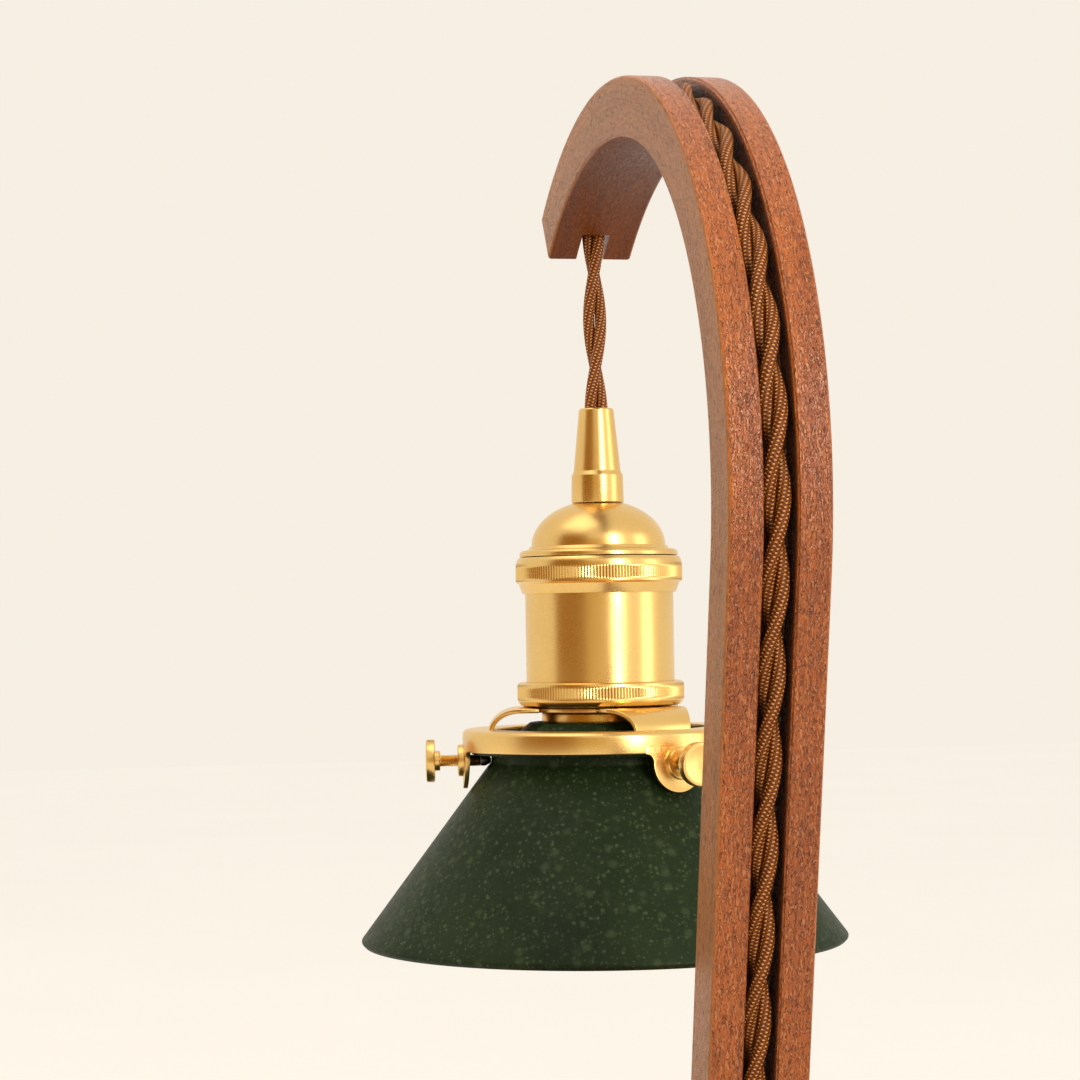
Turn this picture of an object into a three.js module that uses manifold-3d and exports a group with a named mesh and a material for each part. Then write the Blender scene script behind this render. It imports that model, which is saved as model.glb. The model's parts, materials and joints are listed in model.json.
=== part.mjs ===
// Candle warmer lamp: a bent wooden arch on a round wooden foot, with a brass lamp head and a green
// cone shade hanging from the arch's tip on a twisted cord. The cord runs down a groove in the arch
// and out of the foot, through a dimmer and a stored coil, to a plug.
// Millimetres, +Z up. The origin is the middle of the foot's underside; the lamp hangs towards -Y.
import * as THREE from 'three';
import { mergeVertices } from 'three/addons/utils/BufferGeometryUtils.js';
import Module from 'manifold-3d';

const wasm = await Module();
wasm.setup();

// Gaps and cuts
const fit = 0.25; // gap left round a piece that sits in or on another
const overrun = 2; // how far a cutter passes the face that it cuts
const sides = 28; // facets round a turned piece
const wideSides = 36; // facets round the foot, the shade and the gallery
const smallSides = 12; // facets round a small turned piece
const pinSides = 14; // facets round a pin, a post or the hole for a screw
const gripSides = 24; // facets round the cord grip

// Foot
const padThickness = 2;
const padInset = 4; // from the foot's edge
const footDiameter = 180;
const footThickness = 18;
const footTopRound = 4;
const footUnderRound = 1;
const weightInset = 37; // from the foot's edge
const weightThickness = 6;
const weightScrewInset = 18; // from the weight's edge
const weightScrewDiameter = 3.6;
const weightScrewLength = 11;
const weightScrewHeadDiameter = 7.6;
const weightScrewHeadHeight = 2.2;
const outletHeight = 9; // the cord's height where it leaves the foot
const pocketWidth = 9;
const pocketHeight = 13.2;

// Arch
const postInset = 12.84; // from the foot's edge to the post's outer face
const archHeight = 369.8;
const crownSetback = 59.9; // the highest point of the arch behind the lamp's axis
const crownRadius = 130.8;
const crownFrontAngle = 34.2;
const crownBackAngle = 14.4;
const shoulderRadius = 103.7;
const leanAngle = 11.6; // the post's foot stands nearer to the lamp than its shoulder
const armWidth = 23;
const armThickness = 14.9;
const armEdgeRound = 0.9;
const grooveWidth = 7.5;
const grooveDepth = 7.6;
const slotLength = 10.6; // along the underside, from the end of the arm
const slotTopLength = 22.5; // along the outer face
const postScrewDiameter = 4.4;
const postScrewLength = 42;
const postScrewHeadDiameter = 9;
const postScrewHeadHeight = 3.4;
const postScrewSpacing = 13;
const postScrewInset = 3.9; // from the post's front face

// Cord: two covered strands twisted together
const strandDiameter = 3.15;
const cordDiameter = 2 * strandDiameter;
const cordSides = 8;
const bendStep = 6; // degrees between the rings of the cord in a bend
const cordInset = 3.9; // the cord's middle below the arch's outer face
const slotBend = 17.5;
const footBend = 8.5;
const cordDrop = 41.1; // from the tip of the arm to the cord grip
const upperCordLength = 12;

// Lamp head, downwards from the cord grip
const gripHeight = 25.6;
const gripTopDiameter = 9.4;
const gripFootDiameter = 14.2;
const gripBase = 2.6;
const cordInGrip = 11;
const lockHeight = 6;
const domeHeight = 12.8;
const domeDiameter = 36.2;
const domeWall = 1.1;
const domeStep = 1.3;
const flangeDiameter = 42.8;
const flangeHeight = 1.6;
const ringDiameter = 45;
const ringRound = 0.8;
const upperRingHeight = 7;
const ringTaper = 2.7;
const shellDiameter = 40;
const shellWall = 0.9;
const bodyHeight = 23.8; // plain brass between the two knurled rings
const lowerRingHeight = 6.5;
const ringLip = 1.3;
const hubDiameter = 38.6;
const hubBore = 30;
const sheetThickness = 1.2;
const hubNutDiameter = 32;
const hubNutHeight = 3.1;
const hubNutBore = 28;

// Gallery: the three-armed brass shade holder
const galleryDrop = 5.6; // from the hub down to the top of the band
const bandDiameter = 75;
const bandHeight = 5.8;
const galleryBore = 57;
const armStripWidth = 17;
const armStripReach = 29.4;
const armStripRise = 21.8;
const lugWidth = 15;
const lugBoss = 1.4;
const lugBossDiameter = 8.6;
const screwDrop = 8.4; // the thumb screws' axis below the top of the band
const screwCount = 3;
const screwAzimuth = -10.6; // degrees from +X to the first thumb screw

// Thumb screw
const screwDiameter = 3.2;
const knobDiameter = 11.4;
const knobThickness = 2.4;
const knobNeckDiameter = 5.4;
const knobNeckLength = 1.4;
const knobReach = 45; // the knob's inner face from the lamp's axis
const tipDiameter = 3;
const tipLength = 2.6;

// Shade
const rimDiameter = 131.2;
const shadeHeight = 47.6; // from the rim to the foot of the neck
const shadeWall = 3;
const coneTopDiameter = 61.8;
const neckDiameter = 59.6;
const neckRound = 0.8;
const lipDiameter = 70.8;
const lipThickness = 3;
const collarDiameter = 45.6;
const collarTopDiameter = 38.6;
const collarBore = 35.4;
const collarRise = 5.2;
const collarShoulder = 2.2; // height of the collar's upright foot

// Lamp holder and bulb
const holderDiameter = 27;
const holderHeight = 19;
const pinSpacing = 10;
const pinDiameter = 2.6;
const pinHeadDiameter = 4.6;
const pinHeadHeight = 2;
const pinLength = 6;
const twistAngle = 30;
const bulbCapDiameter = 23.4;
const bulbCapHeight = 13;
const reflectorDiameter = 50;
const reflectorHeight = 36;
const lensThickness = 2.4;
const lensInset = 1.2;
const bridgeWidth = 11;
const bridgeThickness = 1;
const contactWidth = 3.4;
const contactThickness = 0.8;
const contactHeight = 3.6;
const leadDiameter = 2;
const bridgeScrewDiameter = 3;
const bridgeScrewSpacing = 19;

// Dimmer on the cord
const dimmerLength = 68;
const dimmerWidth = 30;
const dimmerHeight = 24;
const dimmerWall = 2;
const dimmerRound = 6;
const dimmerEdge = 1.2;
const dimmerOffset = 8; // the dimmer's middle outside the foot's edge
const dimmerY = 92;
const wheelDiameter = 24;
const wheelThickness = 7;
const wheelRise = 3.2; // how far the wheel stands out of the case
const wheelRibDepth = 0.7;
const wheelRibs = 18;
const wheelPinDiameter = 3;
const wheelPinReach = 2.2;
const boardThickness = 1.6;
const boardInset = 5;
const caseScrewDiameter = 2.6;
const caseScrewHead = 5;
const caseScrewInset = 8;
const bushLength = 20;
const bushFlange = 1.5;
const bushRootDiameter = 13.6;
const bushTipDiameter = 9;

// Outlet bush in the foot
const outletBushDiameter = 11;
const outletFlangeDiameter = 15;
const outletFlangeThickness = 2;
const outletNose = 22;
const outletTipDiameter = 9;
const outletSeat = 5; // how deep the bush sits in the foot

// Coil, tie and plug
const coilSetback = 82; // the coil's middle behind the foot's edge
const coilMeanDiameter = 70;
const coilTurns = 7.5;
const coilSteps = 24; // rings in a turn
const coilSides = 6;
const turnGap = 0.55;
const climbShare = 0.5; // of a turn, spent rising to the upper layer
const tieThickness = 0.6;
const tieWidth = 10;
const tieGap = 0.5;
const tieRound = 3;
const plugOffset = 16; // the plug's middle outside the foot's edge
const plugFront = -50; // where the plug's blades leave its body
const plugLength = 30;
const plugWidth = 25;
const plugThickness = 18;
const plugReliefLength = 22;
const plugReliefRoot = 2.4; // wall of the relief at the plug, and at its tip
const plugReliefTip = 1.1;
const plugStationShares = [[0, 0.86], [0.07, 1], [0.5, 1], [0.72, 0.86], [0.9, 0.72], [1, 0.66]];
const plugSlimShare = 0.08; // how much less the plug's thickness narrows than its width
const plugSquareShare = 0.55; // 1 is an ellipse, 0 a rectangle
const bladeSpacing = 12.7;
const bladeLength = 16;
const bladeHeight = 6.3;
const bladeThickness = 1.5;

// Places worked out from the sizes
const degrees = Math.PI / 180;
const halfTurn = Math.PI;
const footTop = padThickness + footThickness;
const footRadius = footDiameter / 2;
const padRadius = footRadius - padInset;
const weightRadius = footRadius - weightInset;
const weightScrewReach = weightRadius - weightScrewInset;
const dimmerX = -footRadius - dimmerOffset;
const plugX = -footRadius - plugOffset;
const coilY = footRadius + coilSetback;
const crownZ = archHeight - crownRadius;
const shoulderStart = 90 - crownBackAngle;
const shoulderShift = crownRadius - shoulderRadius;
const shoulderZ = crownZ + shoulderShift * Math.sin(shoulderStart * degrees);
const tangentZ = shoulderZ - shoulderRadius * Math.sin(leanAngle * degrees);
const tangentY = footRadius - postInset + (tangentZ - footTop) * Math.tan(leanAngle * degrees);
const shoulderY = tangentY - shoulderRadius * Math.cos(leanAngle * degrees);
const crownY = shoulderY - shoulderShift * Math.cos(shoulderStart * degrees);
const lampY = crownY - crownSetback; // the lamp's axis, in front of the foot's middle
const armEndAngle = 90 + crownFrontAngle;
const armTipZ = crownZ + (crownRadius - armThickness) * Math.sin(armEndAngle * degrees);
const cordRadius = cordDiameter / 2;
const sheet = sheetThickness;

const gripTop = armTipZ - cordDrop;
const gripFoot = gripTop - gripHeight;
const flangeTop = gripFoot - domeHeight;
const flangeFoot = flangeTop - flangeHeight;
const upperRingTop = flangeFoot - fit;
const bodyTop = upperRingTop - upperRingHeight - ringTaper;
const lowerRingTop = bodyTop - bodyHeight;
const lowerRingFoot = lowerRingTop - lowerRingHeight;
const hubTop = lowerRingFoot - fit;
const hubFoot = hubTop - sheet;
const bandTop = hubTop - galleryDrop;
const bandFoot = bandTop - bandHeight;
const bandRadius = bandDiameter / 2;
const screwZ = bandTop - screwDrop;
const lipFoot = screwZ + tipDiameter / 2 + fit;
const lipTop = lipFoot + lipThickness;
const neckFoot = screwZ - tipDiameter / 2 - fit;
const rimZ = neckFoot - shadeHeight;
const tipInner = neckDiameter / 2 + fit;
const tipOuter = tipInner + tipLength;
const shellRadius = shellDiameter / 2;
const shellBore = shellRadius - shellWall;
const holderFoot = hubTop + fit;
const holderTop = holderFoot + holderHeight;
const bulbTop = holderFoot - fit;
const reflectorTop = bulbTop - bulbCapHeight;
const lensFoot = reflectorTop - reflectorHeight;

// Geometry helpers
function closed(geometry) {
  // Shared corners are merged, flat triangles dropped, and the faces turned outwards.
  const bare = geometry.clone();
  bare.deleteAttribute('normal');
  bare.deleteAttribute('uv');
  const merged = mergeVertices(bare, 1e-4);
  const index = merged.index.array;
  const place = merged.attributes.position;
  const kept = [];
  let volume = 0;
  const a = new THREE.Vector3();
  const b = new THREE.Vector3();
  const c = new THREE.Vector3();
  for (let i = 0; i < index.length; i += 3) {
    const [p, q, r] = [index[i], index[i + 1], index[i + 2]];
    if (p === q || q === r || r === p) continue;
    kept.push(p, q, r);
    a.fromBufferAttribute(place, p);
    b.fromBufferAttribute(place, q);
    c.fromBufferAttribute(place, r);
    volume += a.dot(b.cross(c));
  }
  if (volume < 0) kept.reverse();
  const result = new THREE.BufferGeometry();
  result.setAttribute('position', place);
  result.setIndex(kept);
  return result;
}

function solid(geometry) {
  const merged = closed(geometry);
  return new wasm.Manifold(new wasm.Mesh({
    numProp: 3,
    vertProperties: new Float32Array(merged.attributes.position.array),
    triVerts: new Uint32Array(merged.index.array),
  }));
}

function shaped(manifold) {
  const mesh = manifold.getMesh();
  const geometry = new THREE.BufferGeometry();
  geometry.setAttribute('position', new THREE.BufferAttribute(mesh.vertProperties, 3));
  geometry.setIndex(new THREE.BufferAttribute(mesh.triVerts, 1));
  return geometry;
}

function cut(geometry, cutters) {
  return shaped(cutters.reduce((left, cutter) => left.subtract(solid(cutter)), solid(geometry)));
}

function join(geometries) {
  return shaped(geometries.slice(1).reduce((all, next) => all.add(solid(next)), solid(geometries[0])));
}

// A profile of [radius, height] points turned about Z; it closes on the axis or on itself.
function turned(profile, count = sides) {
  const points = profile.map(([radius, height]) => new THREE.Vector2(radius, height));
  if (profile[0][0] > 0) points.push(points[0].clone());
  const geometry = new THREE.LatheGeometry(points, count);
  geometry.rotateX(Math.PI / 2);
  return geometry;
}

function disc(radius, low, high, count = sides) {
  return turned([[0, low], [radius, low], [radius, high], [0, high]], count);
}

function tube(inner, outer, low, high, count = sides) {
  return turned([[inner, low], [outer, low], [outer, high], [inner, high]], count);
}

function block([x0, y0, z0], [x1, y1, z1]) {
  const geometry = new THREE.BoxGeometry(x1 - x0, y1 - y0, z1 - z0);
  geometry.translate((x0 + x1) / 2, (y0 + y1) / 2, (z0 + z1) / 2);
  return geometry;
}

// A solid turned about Z is laid along +X or +Y.
const alongX = (geometry) => geometry.rotateY(Math.PI / 2);
const alongY = (geometry) => geometry.rotateX(-Math.PI / 2);

function roundedRectangle(width, height, radius) {
  const shape = new THREE.Shape();
  const x = width / 2;
  const y = height / 2;
  shape.moveTo(radius - x, -y);
  shape.absarc(x - radius, radius - y, radius, -Math.PI / 2, 0);
  shape.absarc(x - radius, y - radius, radius, 0, Math.PI / 2);
  shape.absarc(radius - x, y - radius, radius, Math.PI / 2, Math.PI);
  shape.absarc(radius - x, radius - y, radius, Math.PI, (3 * Math.PI) / 2);
  return shape;
}

function extruded(shape, depth, curveSegments = 4, bevel = 0) {
  return new THREE.ExtrudeGeometry(shape, {
    depth: depth - 2 * bevel,
    curveSegments,
    bevelEnabled: bevel > 0,
    bevelThickness: bevel,
    bevelSize: bevel,
    bevelOffset: -bevel,
    bevelSegments: 2,
  }).translate(0, 0, bevel);
}

// Rings of points, all with the same count, are skinned and closed at both ends.
function skinned(rings) {
  const count = rings[0].length;
  const middle = (ring) => ring.reduce((sum, p) => sum.add(p), new THREE.Vector3()).divideScalar(count);
  const points = [...rings.flat(), middle(rings[0]), middle(rings.at(-1))];
  const index = [];
  for (let i = 0; i + 1 < rings.length; i += 1) {
    for (let j = 0; j < count; j += 1) {
      const a = i * count + j;
      const b = i * count + ((j + 1) % count);
      index.push(a, b, b + count, a, b + count, a + count);
    }
  }
  const [start, end, last] = [points.length - 2, points.length - 1, (rings.length - 1) * count];
  for (let j = 0; j < count; j += 1) {
    index.push(start, (j + 1) % count, j, end, last + j, last + ((j + 1) % count));
  }
  const geometry = new THREE.BufferGeometry().setFromPoints(points);
  geometry.setIndex(index);
  return closed(geometry);
}

// A ring of points round a place, square to the way ahead.
function ringAt(centre, ahead, side, count) {
  const up = ahead.clone().cross(side);
  return Array.from({ length: count }, (_, i) => {
    const angle = ((i + 0.5) / count) * 2 * Math.PI;
    return centre.clone().addScaledVector(side, cordRadius * Math.cos(angle))
      .addScaledVector(up, cordRadius * Math.sin(angle));
  });
}

// A route of straights and bends in the YZ plane, from a place and a heading.
function walk(start, stretches) {
  const route = [start];
  for (const { length, turn = 0 } of stretches) {
    const count = Math.max(1, Math.ceil(Math.abs(turn) / (bendStep * degrees)));
    const bend = turn / count;
    const chord = turn === 0 ? length : ((2 * length) / turn) * Math.sin(bend / 2);
    for (let i = 0; i < count; i += 1) {
      const { y, z, heading } = route.at(-1);
      route.push({
        y: y + chord * Math.cos(heading + bend / 2),
        z: z + chord * Math.sin(heading + bend / 2),
        heading: heading + bend,
      });
    }
  }
  return route;
}

function cordAlong(route) {
  const side = new THREE.Vector3(1, 0, 0);
  return skinned(route.map(({ y, z, heading }) => ringAt(new THREE.Vector3(0, y, z),
    new THREE.Vector3(0, Math.cos(heading), Math.sin(heading)), side, cordSides)));
}

// A loose stretch of cord between two ends along Y, straight at each end and eased between them.
function looseCord(from, to, straightStart, straightEnd, steps) {
  const ahead = new THREE.Vector3(0, Math.sign(to.y - from.y), 0);
  const a = from.clone().addScaledVector(ahead, straightStart);
  const b = to.clone().addScaledVector(ahead, -straightEnd);
  const reach = Math.abs(b.y - a.y) / 2;
  const route = new THREE.CurvePath();
  route.add(new THREE.LineCurve3(from, a));
  route.add(new THREE.CubicBezierCurve3(a, a.clone().addScaledVector(ahead, reach),
    b.clone().addScaledVector(ahead, -reach), b));
  route.add(new THREE.LineCurve3(b, to));
  const section = new THREE.Shape();
  section.absarc(0, 0, cordRadius, 0, 2 * Math.PI);
  return new THREE.ExtrudeGeometry(section, { steps, curveSegments: cordSides / 2, extrudePath: route });
}

// Materials
function finish(color, roughness, metalness = 0) {
  return () => new THREE.MeshStandardMaterial({ color, roughness, metalness });
}
const wood = finish(0x8a4a2a, 0.5);
const brass = finish(0xd2a24c, 0.28, 1);
const steel = finish(0x9a9c9f, 0.4, 1);
const cloth = finish(0x9c5a24, 0.85);
const glaze = finish(0x1c3a2c, 0.42);
const ceramic = finish(0xe9e4d8, 0.6);
const glass = finish(0xe8eef2, 0.08);
const mirrored = finish(0xd8dade, 0.12, 1);
const blackPlastic = finish(0x1b1a19, 0.5);
const brownPlastic = finish(0x4a2a18, 0.45);
const foam = finish(0x26221f, 0.95);
const circuit = finish(0x1f5a34, 0.6);

function piece(name, geometry, material) {
  const mesh = new THREE.Mesh(closed(geometry), material());
  mesh.name = name;
  return mesh;
}

// Foot
function outsideY(z) {
  // The post's outer face at a height, on its straight stretch.
  return tangentY - (tangentZ - z) * Math.tan(leanAngle * degrees);
}
const postFrontY = outsideY(footTop) - armThickness / Math.cos(leanAngle * degrees);

// Along the post's lean, from a point at the foot's top.
function leaning(geometry, x, y) {
  return geometry.rotateX(-leanAngle * degrees).translate(x, y, footTop);
}

function postScrewPlaces() {
  const y = postFrontY + postScrewInset;
  return [-1, 1].map((side) => [(side * postScrewSpacing) / 2, y]);
}

const footScrewSink = footThickness - postScrewHeadHeight - 2 * fit;
function footPlate() {
  const radius = footRadius;
  const profile = [[0, padThickness], [radius - footUnderRound, padThickness],
    [radius, padThickness + footUnderRound]];
  const roundSteps = 3;
  for (let i = 0; i <= roundSteps; i += 1) {
    const angle = (i / roundSteps) * (Math.PI / 2);
    const inward = footTopRound * (1 - Math.cos(angle));
    profile.push([radius - inward, footTop - footTopRound * (1 - Math.sin(angle))]);
  }
  profile.push([0, footTop]);
  const under = padThickness - overrun;
  const pocketTop = padThickness + weightThickness + fit;
  const screwRadius = weightScrewDiameter / 2 + fit;
  const screwTop = padThickness + weightThickness + weightScrewLength - weightScrewHeadHeight;
  const bush = outletBushDiameter / 2 + fit;
  const cutters = [
    disc(weightRadius + fit, under, pocketTop),
    ...[-1, 1].map((side) => disc(screwRadius, under, screwTop, smallSides)
      .translate(side * weightScrewReach, 0, 0)),
    ...postScrewPlaces().flatMap(([x, y]) => [
      leaning(disc(postScrewDiameter / 2 + fit, -footThickness - overrun, overrun, smallSides), x, y),
      leaning(disc(postScrewHeadDiameter / 2 + fit, -2 * footThickness,
        2 * fit + postScrewHeadHeight - footScrewSink, smallSides), x, y),
    ]),
    disc(cordRadius + 4 * fit, outletHeight, footTop + overrun, smallSides).translate(0, footCordY, 0),
    block([-pocketWidth / 2, footCordY - cordRadius - 4 * fit, under],
      [pocketWidth / 2, radius - outletSeat - fit, padThickness + pocketHeight]),
    alongY(disc(bush, radius - outletSeat - overrun, radius + overrun, smallSides))
      .translate(0, 0, outletHeight),
  ];
  return cut(turned(profile, wideSides), cutters);
}

function footWeight() {
  const low = padThickness + fit;
  const high = padThickness + weightThickness;
  const head = weightScrewHeadDiameter / 2 + fit;
  const cutters = [-1, 1].flatMap((side) => [
    disc(weightScrewDiameter / 2 + fit, low - overrun, high + overrun, smallSides),
    disc(head, low - overrun, low + weightScrewHeadHeight + fit, smallSides),
  ].map((cutter) => cutter.translate(side * weightScrewReach, 0, 0)));
  return cut(disc(weightRadius, low, high), cutters);
}

// A wood or machine screw with its head at the bottom and its point at the top.
function screwUp(headRadius, headHeight, shankRadius, length) {
  const point = shankRadius;
  return turned([[0, 0], [headRadius, 0], [headRadius, headHeight / 2], [shankRadius, headHeight],
    [shankRadius, length - point], [0, length]], smallSides);
}

// Arch
function archOutline(inset, outset, endAngle) {
  const outer = new THREE.Shape();
  const from = endAngle * degrees;
  const join1 = shoulderStart * degrees;
  const join2 = -leanAngle * degrees;
  outer.absarc(crownY, crownZ, crownRadius + outset, from, join1, true);
  outer.absarc(shoulderY, shoulderZ, shoulderRadius + outset, join1, join2, true);
  const low = outset > 0 ? footTop - overrun : footTop;
  const outerY = outsideY(low) + outset / Math.cos(leanAngle * degrees);
  const innerY = outsideY(low) - inset / Math.cos(leanAngle * degrees);
  outer.lineTo(outerY, low);
  outer.lineTo(innerY, low);
  outer.absarc(shoulderY, shoulderZ, shoulderRadius - inset, join2, join1, false);
  outer.absarc(crownY, crownZ, crownRadius - inset, join1, from, false);
  return outer;
}

// A shape drawn in the YZ plane and given its width along X.
function acrossX(shape, width, curveSegments, bevel = 0) {
  const geometry = extruded(shape, width, curveSegments, bevel);
  geometry.translate(0, 0, -width / 2);
  geometry.applyMatrix4(new THREE.Matrix4().makeBasis(
    new THREE.Vector3(0, 1, 0), new THREE.Vector3(0, 0, 1), new THREE.Vector3(1, 0, 0),
  ));
  return geometry;
}

// The router's run-out at the tip: the groove goes right through the arm there.
function slotCutter() {
  const at = (radius, angle) => [crownY + radius * Math.cos(angle), crownZ + radius * Math.sin(angle)];
  const inner = crownRadius - armThickness;
  const end = armEndAngle * degrees;
  const back = end - slotLength / inner;
  const topBack = end - slotTopLength / crownRadius;
  const past = end + overrun / inner;
  const shape = new THREE.Shape();
  shape.moveTo(...at(inner - overrun, past));
  shape.lineTo(...at(crownRadius + overrun, past));
  shape.lineTo(...at(crownRadius + overrun, topBack));
  shape.lineTo(...at(crownRadius - grooveDepth, topBack));
  shape.lineTo(...at(inner, back));
  shape.lineTo(...at(inner - overrun, back));
  return acrossX(shape, grooveWidth, 1);
}

function arch() {
  const arcSteps = 7;
  const body = acrossX(archOutline(armThickness, 0, armEndAngle), armWidth, arcSteps, armEdgeRound);
  const grooveEnd = armEndAngle + overrun;
  const groove = acrossX(archOutline(grooveDepth, overrun, grooveEnd), grooveWidth, arcSteps);
  const screwHoles = postScrewPlaces().map(([x, y]) => leaning(
    disc(postScrewDiameter / 2 + fit, -overrun, postScrewLength - footScrewSink + overrun, smallSides), x, y));
  return cut(body, [groove, slotCutter(), ...screwHoles]);
}

// The cord from the arm's slot, over the arch in its groove, into the foot and out of the bush.
const pivotZ = armTipZ - 2 * fit;
const lean = leanAngle * degrees;
const footBendTop = outletHeight + footBend * (1 + Math.sin(lean));
const footCordY = outsideY(footTop) - cordInset / Math.cos(lean);
const outletEnd = footRadius + 2 * fit + outletNose;
const cordInBush = 2 * cordDiameter; // how deep the cords meet in the bush
function grooveCord() {
  const crownCord = crownRadius - cordInset;
  const shoulderCord = shoulderRadius - cordInset;
  const bendY = lampY + slotBend - crownY;
  const bendZ = crownZ + Math.sqrt((crownCord - slotBend) ** 2 - bendY ** 2);
  const meet = Math.atan2(bendZ - crownZ, bendY);
  const start = pivotZ + cordRadius + fit;
  const crownTurn = meet - shoulderStart * degrees;
  const shoulderTurn = shoulderStart * degrees + lean;
  const postTop = shoulderZ - shoulderCord * Math.sin(lean);
  const bendFootY = outsideY(footBendTop) - cordInset / Math.cos(lean) + footBend * Math.cos(lean);
  return cordAlong(walk({ y: lampY, z: start, heading: halfTurn / 2 }, [
    { length: bendZ - start },
    { length: slotBend * (halfTurn - meet), turn: meet - halfTurn },
    { length: crownCord * crownTurn, turn: -crownTurn },
    { length: shoulderCord * shoulderTurn, turn: -shoulderTurn },
    { length: (postTop - footBendTop) / Math.cos(lean) },
    { length: footBend * (halfTurn / 2 + lean), turn: halfTurn / 2 + lean },
    { length: outletEnd - cordInBush - bendFootY },
  ]));
}

// Lamp head
function cordGrip() {
  const top = gripTopDiameter / 2;
  const foot = gripFootDiameter / 2;
  const bore = cordRadius + fit;
  const wide = foot - 2 * domeWall;
  return turned([[bore, gripTop], [bore, gripTop - cordInGrip - fit], [wide - domeWall, gripFoot + gripBase + lockHeight],
    [wide - domeWall, gripFoot], [foot, gripFoot], [foot, gripFoot + gripBase / 2],
    [foot - 2 * fit, gripFoot + gripBase], [top + fit, gripTop - gripBase], [top, gripTop - fit],
    [top - 2 * fit, gripTop]], gripSides);
}

function domeCap() {
  const outer = domeDiameter / 2;
  const steps = 5;
  const start = flangeTop + domeStep;
  const height = domeHeight - domeStep - fit;
  const topRadius = gripFootDiameter / 2 + fit;
  const arc = (radius, rise, base) => Array.from({ length: steps }, (_, i) => {
    const angle = (i / (steps - 1)) * Math.acos(topRadius / outer);
    return [radius * Math.cos(angle), base + (rise * Math.sin(angle)) / Math.sin(Math.acos(topRadius / outer))];
  });
  const outside = [[flangeDiameter / 2, flangeFoot], [flangeDiameter / 2, flangeTop - 2 * fit],
    [flangeDiameter / 2 - 2 * fit, flangeTop], [outer, flangeTop], ...arc(outer, height, start)];
  const hole = cordRadius + fit;
  const ceiling = start + height - domeWall;
  const inside = [[hole, start + height], [hole, ceiling],
    ...arc(outer - domeWall, height - domeWall, start).reverse().slice(1), [outer - domeWall, flangeFoot]];
  return turned([...outside, ...inside]);
}

// The clamp inside the grip that takes the cord's pull.
function cordLock() {
  const outer = gripFootDiameter / 2 - 3 * domeWall - fit;
  return tube(cordRadius / 2, outer, gripFoot + fit, gripFoot + gripBase + lockHeight - 2 * fit, smallSides);
}

function upperRing() {
  const outer = ringDiameter / 2;
  const bore = shellRadius + fit;
  const foot = bodyTop;
  return turned([[bore, foot], [bore + 2 * fit, foot], [outer - ringRound, foot + ringTaper],
    [outer, foot + ringTaper + ringRound], [outer, upperRingTop - ringRound], [outer - ringRound, upperRingTop],
    [bore, upperRingTop]]);
}

function socketShell() {
  return tube(shellBore, shellRadius, lowerRingFoot + ringLip + fit, flangeFoot - 2 * fit);
}

function lowerRing() {
  const outer = ringDiameter / 2;
  const bore = shellRadius + fit;
  const inner = shellBore - 2 * shellWall;
  return turned([[inner, lowerRingFoot], [outer - 2 * ringRound, lowerRingFoot],
    [outer, lowerRingFoot + 2 * ringRound], [outer, lowerRingTop - ringRound],
    [outer - ringRound, lowerRingTop], [bore, lowerRingTop], [bore, lowerRingFoot + ringLip],
    [inner, lowerRingFoot + ringLip]]);
}

function hubNut() {
  return tube(hubNutBore / 2, hubNutDiameter / 2, hubFoot - fit - hubNutHeight, hubFoot - fit);
}

function stripProfile() {
  // A quarter of an ellipse from the hub out and down to the band's top.
  const steps = 4;
  const drop = galleryDrop;
  const reach = armStripReach - armStripRise;
  const curve = (grow) => Array.from({ length: steps }, (_, i) => {
    const angle = (i / (steps - 1)) * (Math.PI / 2);
    return [armStripRise + (reach + grow) * Math.sin(angle), bandTop - sheet / 2 + (drop - sheet / 2 + grow)
      * Math.cos(angle)];
  });
  const start = hubDiameter / 2 - 2 * sheet;
  return [[start, hubFoot], [start, hubTop], ...curve(sheet).map(([r, z]) => [r, Math.min(z, hubTop)]),
    ...curve(0).reverse()];
}

function screwTurns() {
  return Array.from({ length: screwCount }, (_, i) => (screwAzimuth + (i * 360) / screwCount) * degrees);
}

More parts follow.
